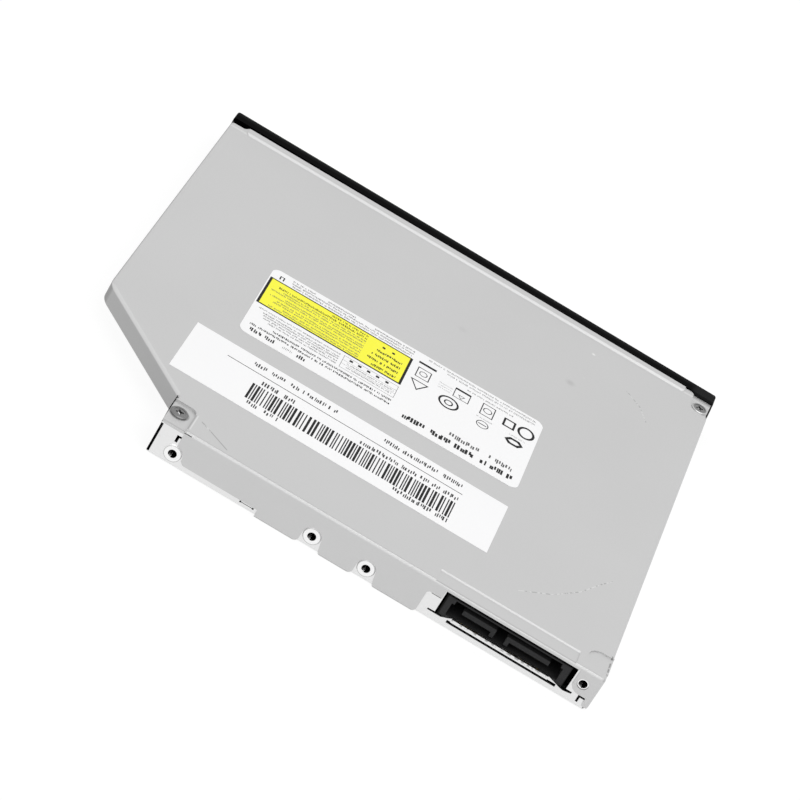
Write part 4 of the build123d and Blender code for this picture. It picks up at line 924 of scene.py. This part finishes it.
def bore_thread(name, places, start, end, radius, depth, pitch):
    """Threads in the mounting nuts: the wall of each bore, drawn in by a sharp ridge whose
    phase turns once round in one pitch, and closed behind by a thin sleeve."""
    along = np.linspace(start, end, int((end - start) / pitch * 8) + 1)
    around = np.arange(24) * 2 * math.pi / 24
    phase = (around[None] / (2 * math.pi) + along[:, None] / pitch) % 1.0
    inner = radius - 0.01 - depth * (1 - 2 * np.abs(phase - 0.5))
    outer = np.full_like(inner, radius - 0.004)
    radii = np.concatenate([inner, outer[::-1]])
    position = np.repeat(np.concatenate([along, along[::-1]])[:, None], 24, 1)
    faces = closed_quads(np.arange(radii.size).reshape(radii.shape))
    groups = []
    for x, z in places:
        points = np.stack([x + radii * np.cos(around), position, z + radii * np.sin(around)], -1)
        groups.append((points.reshape(-1, 3), faces))
    return solid(name, *merged(*groups))


# Prints of the stickers, in mm from the sticker's centre. A row of greeked print is u0, u1, v,
# height and weight, as print_rows says.

RATING = {"centre": (3.0, 65.0), "turn": math.radians(1.1)}
SERIAL = {"centre": (6.55, 97.5), "turn": 0.0}

RATING_BORDER = (-2.0, 33.7, -11.0, 1.6)
RATING_FIELD = (-1.4, 33.1, -10.6, 1.15)
RATING_BOLD = [
    (-32.1, -23.9, 12.15, 1.9, 0.74), (-22.6, -11.6, 12.15, 1.9, 0.74),
    (-10.6, -4.9, 12.15, 1.9, 0.74), (18.4, 20.8, 12.9, 1.5, 0.6),
    (25.9, 28.3, 12.9, 1.5, 0.6), (29.0, 32.2, 12.9, 1.5, 0.6),
    (-1.7, 32.6, 10.85, 0.85, 0.6), (-1.7, 27.5, 9.3, 0.85, 0.6),
]
RATING_FINE = [
    (-32.1, -25.4, 9.05, 1.7, 0.6), (-24.0, -14.8, 9.05, 1.7, 0.6), (21.6, 24.0, 12.9, 0.9, 0.3),
    (12.4, 29.2, 7.4, 0.6, 0.5), (12.4, 30.5, 6.35, 0.6, 0.5), (12.4, 30.9, 5.35, 0.6, 0.5),
    (12.4, 31.1, 4.4, 0.6, 0.5), (12.4, 32.6, 3.15, 0.6, 0.45), (-1.3, 10.4, 6.75, 0.6, 0.45),
    (-1.3, 10.2, 5.3, 0.6, 0.45), (-1.6, 29.0, -11.85, 0.65, 0.5), (-1.6, 29.0, -12.95, 0.65, 0.5),
    (-1.6, 8.6, -14.0, 0.65, 0.5), (13.0, 20.2, -14.0, 0.65, 0.5), (23.4, 29.0, -14.0, 0.65, 0.5),
    (-27.0, -15.5, -11.25, 0.6, 0.45), (-32.1, -10.1, -12.85, 0.7, 0.4),
    (-32.1, -5.0, -14.1, 0.7, 0.4), (-31.6, -27.6, -3.9, 0.5, 0.35),
    (-23.4, -19.6, -3.75, 0.5, 0.35),
    (-12.5, -9.2, -6.3, 0.4, 0.3), (-12.5, -9.2, -7.3, 0.4, 0.3), (-12.5, -9.2, -8.3, 0.4, 0.3),
]
FIELD_BOLD = [
    (-0.3, 6.0, -0.05, 0.95, 0.66), (-0.3, 7.5, -2.2, 0.95, 0.66), (-0.3, 6.7, -4.4, 0.95, 0.66),
    (-0.3, 6.0, -6.5, 0.95, 0.66), (8.9, 31.0, -8.4, 0.8, 0.55), (8.9, 18.2, -9.6, 0.7, 0.55),
]
FIELD_FINE = [
    (8.9, 31.4, 0.5, 0.6, 0.5), (8.9, 27.8, -0.5, 0.6, 0.5), (8.9, 30.6, -1.75, 0.6, 0.5),
    (8.9, 30.0, -2.7, 0.6, 0.5), (8.9, 31.9, -4.0, 0.6, 0.5), (8.9, 28.4, -4.9, 0.6, 0.5),
    (8.9, 32.2, -6.25, 0.6, 0.5), (8.9, 29.6, -7.2, 0.6, 0.5),
]
# Outlines: u, v, half width, half height, corners (0 for an oval), line width, tilt in degrees
RATING_SIGNS = [
    (-13.0, -2.25, 2.5, 2.5, 0, 0.5, 0), (-13.0, -2.25, 1.1, 1.1, 0, 0.34, 0),
    (-21.6, -1.45, 1.5, 1.5, 0, 0.22, 0), (-5.45, -2.55, 2.6, 2.6, 3, 0.3, 90),
    (-29.4, -1.6, 2.3, 1.6, 6, 0.75, 0), (-31.1, -7.6, 2.1, 2.4, 0, 0.6, 0),
    (-26.9, -7.6, 2.1, 2.4, 4, 0.5, 45), (-21.5, -7.6, 2.3, 3.4, 4, 0.24, 45),
    (-21.5, -7.6, 1.1, 1.1, 0, 0.22, 0),
    (-15.0, -7.8, 2.75, 2.75, 4, 0.2, 45), (-15.0, -7.1, 1.0, 1.0, 3, 0.16, 90),
    (-5.45, -7.4, 2.4, 3.0, 4, 0.24, 45), (-5.45, -7.4, 1.0, 1.0, 0, 0.2, 0),
]
# Blocks and rules: u0, u1, v0, v1
RATING_BLOCKS = [
    (-7.75, -3.4, -11.9, -11.1), (-16.9, -13.1, -9.9, -9.2), (-22.6, -20.6, -1.6, -1.3),
    (30.75, 31.05, -13.3, -11.7), (31.6, 31.9, -13.3, -11.7), (30.75, 31.9, -13.3, -13.05),
    (0.4, 1.2, 3.1, 3.9), (2.7, 3.5, 3.1, 3.9), (4.9, 5.7, 3.1, 3.9), (7.1, 7.9, 3.1, 3.9),
    (9.2, 10.0, 3.1, 3.9),
]
FIELD_BLOCKS = [(2.0, 2.7, -9.05, -8.35), (4.4, 5.1, -9.05, -8.35)]
RATING_RULES = [
    (-1.9, 11.5, 7.75, 7.85), (-1.9, 11.5, 2.6, 2.7), (-1.9, -1.8, 2.6, 7.85),
    (11.4, 11.5, 2.6, 7.85), (-1.9, 11.5, 6.0, 6.07), (-1.9, 11.5, 4.5, 4.57),
]

# Bars and gaps of the bar code, counted together
BAR_RUNS = 136
SERIAL_BARS = (-27.5, 21.75, -0.5, 6.15)
SERIAL_RULE = (-28.0, 28.75, -4.86, -4.64)
SERIAL_ROWS = [
    (-27.5, -24.4, 7.35, 1.6, 0.54), (-23.6, -13.3, 7.35, 1.6, 0.54),
    (13.0, 17.0, 7.35, 1.6, 0.54), (17.9, 20.5, 7.35, 1.6, 0.54),
    (-27.6, -4.0, -2.15, 1.6, 0.54), (11.8, 14.9, -2.15, 1.6, 0.54),
    (15.8, 19.6, -2.15, 1.6, 0.54), (-27.2, -21.9, -7.6, 1.5, 0.54), (-21.2, -8.0, -7.6, 1.5, 0.54),
    (3.1, 14.8, -7.6, 1.5, 0.54), (15.8, 19.4, -7.6, 1.5, 0.54), (20.2, 24.1, -7.6, 1.5, 0.54),
]


def lay_print(name, shape, finish):
    """Puts one layer of print on its sticker."""
    piece = solid(name, *shape)
    finish.dress(piece)
    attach(piece, "case")


# Operators


class DRIVE_OT_case_finishes(Operator):
    """Dress the outer case: cover, chassis, screws, nuts, stickers, connector and bezel"""

    bl_idname = "drive.case_finishes"
    bl_label = "Case finishes"

    def execute(self, context):
        colours = context.scene.drive_colours
        cover_finish(tuple(colours.cover)).dress("top_cover")
        chassis_finish(tuple(colours.chassis)).dress("bottom_chassis")
        screw_finish().dress("cover_screws")
        ground_metal("deck screw steel", (0.36, 0.36, 0.37), 0.30, "z").dress("deck_screws")
        nut_finish().dress("mount_nuts")
        film_finish("sticker film", tuple(colours.sticker)).dress("rating_label", "serial_label")
        plug_finish().dress("connector_housing")
        contacts = stripe_finish("connector contacts", (0.30, 0.21, 0.07), (0.42, 0.30, 0.10),
                                 1.27, 0.0, 0.9)
        contacts.dress("connector_contacts")
        bezel_finish(tuple(colours.bezel)).dress("bezel", "eject_button", "corner_strip")
        return {"FINISHED"}


class DRIVE_OT_inner_finishes(Operator):
    """Dress the tray, the slides, the loading parts, the motor, the pickup and the boards"""

    bl_idname = "drive.inner_finishes"
    bl_label = "Inner finishes"

    def execute(self, context):
        colours = context.scene.drive_colours
        moulding("tray moulding", tuple(colours.moulding), 0.55, 0.3).dress("tray")
        moulding("guide moulding", (0.02, 0.02, 0.021), 0.5).dress(
            "guide_left", "guide_right", "pusher_guide")
        moulding("natural moulding", (0.62, 0.60, 0.53), 0.42, 0.4, 0.006).dress(
            "chuck_claw_1", "chuck_claw_2", "chuck_claw_3", "screw_follower", "eject_pusher",
            "latch_lever")
        moulding("holder moulding", (0.02, 0.02, 0.022), 0.5, 0.25, 0.006).dress("lens_holder")
        moulding("damper rubber", (0.015, 0.015, 0.016), 0.75, 0.16, 0.02).dress(
            "deck_dampers", "turntable_ring")
        moulding("socket moulding", (0.60, 0.55, 0.42), 0.45, 0.35, 0.006).dress(
            "board_socket", "tray_socket")
        moulding("insulating film", (0.014, 0.014, 0.015), 0.35, 0.8, 0.006).dress(
            "insulating_sheet")
        moulding("switch moulding", (0.02, 0.02, 0.022), 0.45).dress("push_switch")
        moulding("mechanism cover paint", (0.017, 0.017, 0.018), 0.46, 0.35, 0.014, 0.1).dress(
            "mechanism_cover")
        sheet_steel("slide rail steel", (0.68, 0.68, 0.67), 0.28, (1, 0.05, 1)).dress(
            "rail_left", "rail_right")
        sheet_steel("underside steel", (0.70, 0.70, 0.69), 0.32, (1, 0.3, 1)).dress(
            "tray_underside", "screw_bracket")
        sheet_steel("stator steel", (0.42, 0.38, 0.32), 0.36).dress("spindle_stator")
        sheet_steel("motor can steel", (0.58, 0.58, 0.59), 0.26).dress("stepper_motor")
        sheet_steel("magnet plate", (0.34, 0.34, 0.35), 0.30).dress("actuator_yoke")
        sheet_steel("heat plate copper", (0.66, 0.33, 0.16), 0.30).dress("laser_plate")
        cast_metal("deck casting", (0.46, 0.47, 0.49), 0.42).dress("deck_frame")
        cast_metal("sled casting", (0.36, 0.36, 0.38), 0.38).dress("pickup_sled")
        turned_metal("turntable turned metal", (0.62, 0.62, 0.64), 0.25).dress("turntable")
        ground_metal("rod ground steel", (0.74, 0.74, 0.76), 0.14, "x").dress(
            "guide_rods", "latch_post", "lever_pin", "solenoid_plunger")
        board_finish(tuple(colours.board)).dress("main_board", "button_board")
        chip_finish().dress("controller_chip", "driver_chip", "memory_chip")
        parts_finish().dress("board_passives")
        lens_finish().dress("objective_lens")
        lamp_finish().dress("indicator_lamp", "light_guide")
        coil_finish().dress("latch_solenoid")
        return {"FINISHED"}


class DRIVE_OT_rating_print(Operator):
    """Print the rating sticker: a bright field in a dark border, greeked rows and plain signs"""

    bl_idname = "drive.rating_print"
    bl_label = "Rating print"

    def execute(self, context):
        colours = context.scene.drive_colours
        thick = context.scene.drive_sizes.print_thickness / MM
        ink = tuple(colours.ink)
        layer = [STICKER_TOP + thick * n for n in range(4)]

        def bars(boxes, level):
            return ink_bars(boxes, layer[level], layer[level + 1], **RATING)

        dark = merged(bars(print_rows(RATING_BOLD, seed=5), 0), bars(RATING_BLOCKS, 0),
                      bars(np.concatenate([print_rows(FIELD_BOLD, seed=8), FIELD_BLOCKS]), 2),
                      outlines(RATING_SIGNS, layer[0], layer[1], **RATING))
        fine = merged(bars(print_rows(RATING_FINE, seed=3), 0), bars(RATING_RULES, 0),
                      bars(print_rows(FIELD_FINE, seed=4), 2))
        lay_print("rating_border", bars([RATING_BORDER], 0), ink_finish("border ink", ink))
        lay_print("rating_field", bars([RATING_FIELD], 1),
                  film_finish("field ink", tuple(colours.field)))
        lay_print("rating_ink", dark, ink_finish("rating ink", ink))
        lay_print("rating_small_print", fine,
                  ink_finish("small print ink", scaled(ink, 1.0, 0.10)))
        return {"FINISHED"}


class DRIVE_OT_serial_print(Operator):
    """Print the serial sticker: bars, a rule and greeked rows"""

    bl_idname = "drive.serial_print"
    bl_label = "Serial print"

    def execute(self, context):
        thick = context.scene.drive_sizes.print_thickness / MM
        ink = tuple(context.scene.drive_colours.ink)
        level = (STICKER_TOP, STICKER_TOP + thick)
        bars = ink_bars(bar_code(*SERIAL_BARS, seed=11), *level, **SERIAL)
        rows = merged(ink_bars(print_rows(SERIAL_ROWS, seed=12), *level, **SERIAL),
                      ink_bars([SERIAL_RULE], *level, **SERIAL))
        lay_print("serial_bars", bars, ink_finish("serial bars ink", ink))
        lay_print("serial_rows", rows, ink_finish("serial rows ink", scaled(ink, 1.0, 0.03)))
        return {"FINISHED"}


class DRIVE_OT_lead_screw(Operator):
    """Cut the pickup's lead screw with its rounded thread"""

    bl_idname = "drive.lead_screw"
    bl_label = "Lead screw"

    def execute(self, context):
        sizes = context.scene.drive_sizes
        piece = lead_thread("lead_screw_thread", sizes.thread_depth / MM, sizes.thread_lead / MM)
        ground_metal("lead screw steel", (0.60, 0.60, 0.61), 0.2, "z").dress(piece)
        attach(piece, "screw")
        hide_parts("lead_screw")
        return {"FINISHED"}


class DRIVE_OT_eject_spring(Operator):
    """Wind the eject spring between the pusher and its guide"""

    bl_idname = "drive.eject_spring"
    bl_label = "Eject spring"

    def execute(self, context):
        sizes = context.scene.drive_sizes
        piece = wound_wire("eject_spring_coil", SPRING_AXIS, *SPRING_ENDS, SPRING_R,
                           sizes.spring_wire / MM, sizes.spring_turns)
        ground_metal("spring wire", (0.50, 0.50, 0.51), 0.24, "y").dress(piece)
        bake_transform(piece)
        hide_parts("eject_spring")
        return {"FINISHED"}


class DRIVE_OT_ribbon_cable(Operator):
    """Lay the flat cable: its leg on the floor, its rolling bend and its leg under the tray"""

    bl_idname = "drive.ribbon_cable"
    bl_label = "Ribbon cable"

    def execute(self, context):
        thick = context.scene.drive_sizes.cable_thickness / MM
        floor = rounded_path([(CABLE_BEND_Y, CABLE_LOW), (FLOOR_CLIMB_Y, CABLE_LOW),
                              (FLOOR_CLIMB_Y, FLOOR_END[1]), FLOOR_END], CABLE_CORNER_R)
        tray = rounded_path([TRAY_END, (TRAY_CLIMB_Y, TRAY_END[1]), (TRAY_CLIMB_Y, CABLE_HIGH),
                             (CABLE_BEND_Y, CABLE_HIGH)], CABLE_CORNER_R)
        around = np.linspace(0, math.pi, 25)[:, None]
        bend = ((CABLE_BEND_Y, (CABLE_LOW + CABLE_HIGH) / 2) + (CABLE_HIGH - CABLE_LOW) / 2
                * np.concatenate([-np.sin(around), np.cos(around)], 1))
        finish = stripe_finish("flat cable film", (0.80, 0.79, 0.74), (0.62, 0.64, 0.66),
                               0.625, 0.1, 0.5)
        legs = [("flat_cable_floor", fill_in(floor, 1.5), "cable_floor_leg"),
                ("flat_cable_bend", bend, "cable_bend"),
                ("flat_cable_tray", fill_in(tray, 1.5), "cable_tray_leg")]
        for name, path, node in legs:
            piece = ribbon(name, path, *CABLE_SIDES, thick)
            finish.dress(piece)
            if node == "cable_floor_leg":
                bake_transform(piece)
            elif node == "cable_bend":
                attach(piece, "right_slide")
            else:
                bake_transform(piece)
            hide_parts(node)
        return {"FINISHED"}


class DRIVE_OT_nut_threads(Operator):
    """Cut the threads of the four mounting nuts in the rear wall"""

    bl_idname = "drive.nut_threads"
    bl_label = "Nut threads"

    def execute(self, context):
        piece = bore_thread("nut_threads", REAR_NUTS, *NUT_BORE_ENDS, NUT_BORE_R, 0.12, 0.4)
        thread_finish().dress(piece)
        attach(piece, "case")
        return {"FINISHED"}


class DRIVE_OT_stage(Operator):
    """Set the pale floor, the soft lamps, the world and the camera"""

    bl_idname = "drive.stage"
    bl_label = "Stage"

    def execute(self, context):
        scene = context.scene
        scene.view_settings.view_transform = "Standard"
        self.floor()
        self.world(scene)
        self.lamp("softbox above", (-0.25, 0.30, 0.85), 0.9, 2.6)
        self.lamp("softbox rear", (0.45, 0.95, 0.55), 0.7, 1.2)
        self.lamp("strip above", (0.0, 0.10, 0.95), 0.3, 0.2)
        self.camera(scene)
        return {"FINISHED"}

    def floor(self):
        """A wide floor just under the drive, white to the camera with the drive's shadow."""
        half, under = 3.0, -2e-5
        corners = [(-half, -half, under), (half, -half, under), (half, half, under),
                   (-half, half, under)]
        mesh = bpy.data.meshes.new("floor")
        mesh.from_pydata(corners, [], [(0, 1, 2, 3)])
        floor = bpy.data.objects.new("floor", mesh)
        bpy.context.scene.collection.objects.link(floor)
        paint = Finish("floor pale paint", roughness=0.9)
        paint.put("Base Color", opaque(0.97))
        white = paint.node("ShaderNodeEmission", {}, {"Color": opaque(1.0), "Strength": 1.04})
        matt = Value(paint, paint.surface.outputs[0])
        both = paint.node("ShaderNodeMixShader", {}, [paint.plain_rays() * 0.85, matt, white])
        paint.join(paint.tree.nodes["Material Output"].inputs["Surface"], both)
        paint.dress(floor)

    def world(self, scene):
        """White air, a little dimmer as a light than as it is seen."""
        scene.world = bpy.data.worlds.new("studio air")
        scene.world.use_nodes = True
        air = Nodes(scene.world.node_tree)
        glow = air.tree.nodes["Background"].inputs
        values = {"Value": air.plain_rays(), "To Min": 0.72, "To Max": 1.0}
        air.join(glow["Color"], opaque(1.0))
        air.join(glow["Strength"], air.node("ShaderNodeMapRange", {}, values))

    def lamp(self, name, place, size, power):
        """A square lamp that faces the middle of the drive."""
        light = bpy.data.lights.new(name, "AREA")
        light.shape = "SQUARE"
        light.size = size
        light.energy = power
        lamp = bpy.data.objects.new(name, light)
        bpy.context.scene.collection.objects.link(lamp)
        place = np.asarray(place, float)
        lamp.matrix_world = looking(place, -place)

    def camera(self, scene):
        """The photograph's view from behind and above, with the camera turned on its axis."""
        data = bpy.data.cameras.new("camera")
        data.sensor_width = 36.0
        data.lens = 166.81
        data.clip_start = 0.01
        data.clip_end = 20.0
        azimuth, elevation, roll = (math.radians(turn) for turn in (1.2055, 29.971, 31.378))
        level = math.cos(elevation)
        ahead = -np.array([math.sin(azimuth) * level, math.cos(azimuth) * level,
                           math.sin(elevation)])
        camera = bpy.data.objects.new("camera", data)
        bpy.context.scene.collection.objects.link(camera)
        upright = looking(np.array([0.01383, 0.69364, 0.40313]), ahead)
        camera.matrix_world = upright @ Matrix.Rotation(roll, 4, "Z")
        scene.camera = camera


def looking(place, ahead):
    """A matrix at a place whose -Z looks ahead and whose X stays level."""
    ahead = ahead / np.linalg.norm(ahead)
    right = np.cross(ahead, (0, 0, 1))
    right /= np.linalg.norm(right)
    above = np.cross(right, ahead)
    rows = np.stack([right, above, -ahead, place], -1)
    return Matrix([*rows.tolist(), [0, 0, 0, 1]])


class DRIVE_PT_sidebar(Panel):
    """Disc drive tools"""

    bl_idname = "DRIVE_PT_sidebar"
    bl_label = "Disc drive"
    bl_space_type = "VIEW_3D"
    bl_region_type = "UI"
    bl_category = "Disc drive"

    def draw(self, context):
        layout = self.layout
        for group in (context.scene.drive_sizes, context.scene.drive_colours):
            for name in group.__annotations__:
                layout.prop(group, name)
        for step in STEPS:
            layout.operator(step.bl_idname)


STEPS = (DRIVE_OT_case_finishes, DRIVE_OT_inner_finishes, DRIVE_OT_rating_print,
         DRIVE_OT_serial_print, DRIVE_OT_lead_screw, DRIVE_OT_eject_spring,
         DRIVE_OT_ribbon_cable, DRIVE_OT_nut_threads, DRIVE_OT_stage)
CLASSES = (DriveSizes, DriveColours, *STEPS, DRIVE_PT_sidebar)


def register():
    """Registers the classes and the scene's properties."""
    for group in CLASSES:
        bpy.utils.register_class(group)
    bpy.types.Scene.drive_sizes = PointerProperty(type=DriveSizes)
    bpy.types.Scene.drive_colours = PointerProperty(type=DriveColours)


def unregister():
    """Removes what register adds."""
    del bpy.types.Scene.drive_colours
    del bpy.types.Scene.drive_sizes
    for group in reversed(CLASSES):
        bpy.utils.unregister_class(group)


def main():
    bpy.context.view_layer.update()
    register()
    for step in STEPS:
        group, name = step.bl_idname.split(".")
        getattr(getattr(bpy.ops, group), name)()


if __name__ == "__main__":
    main()
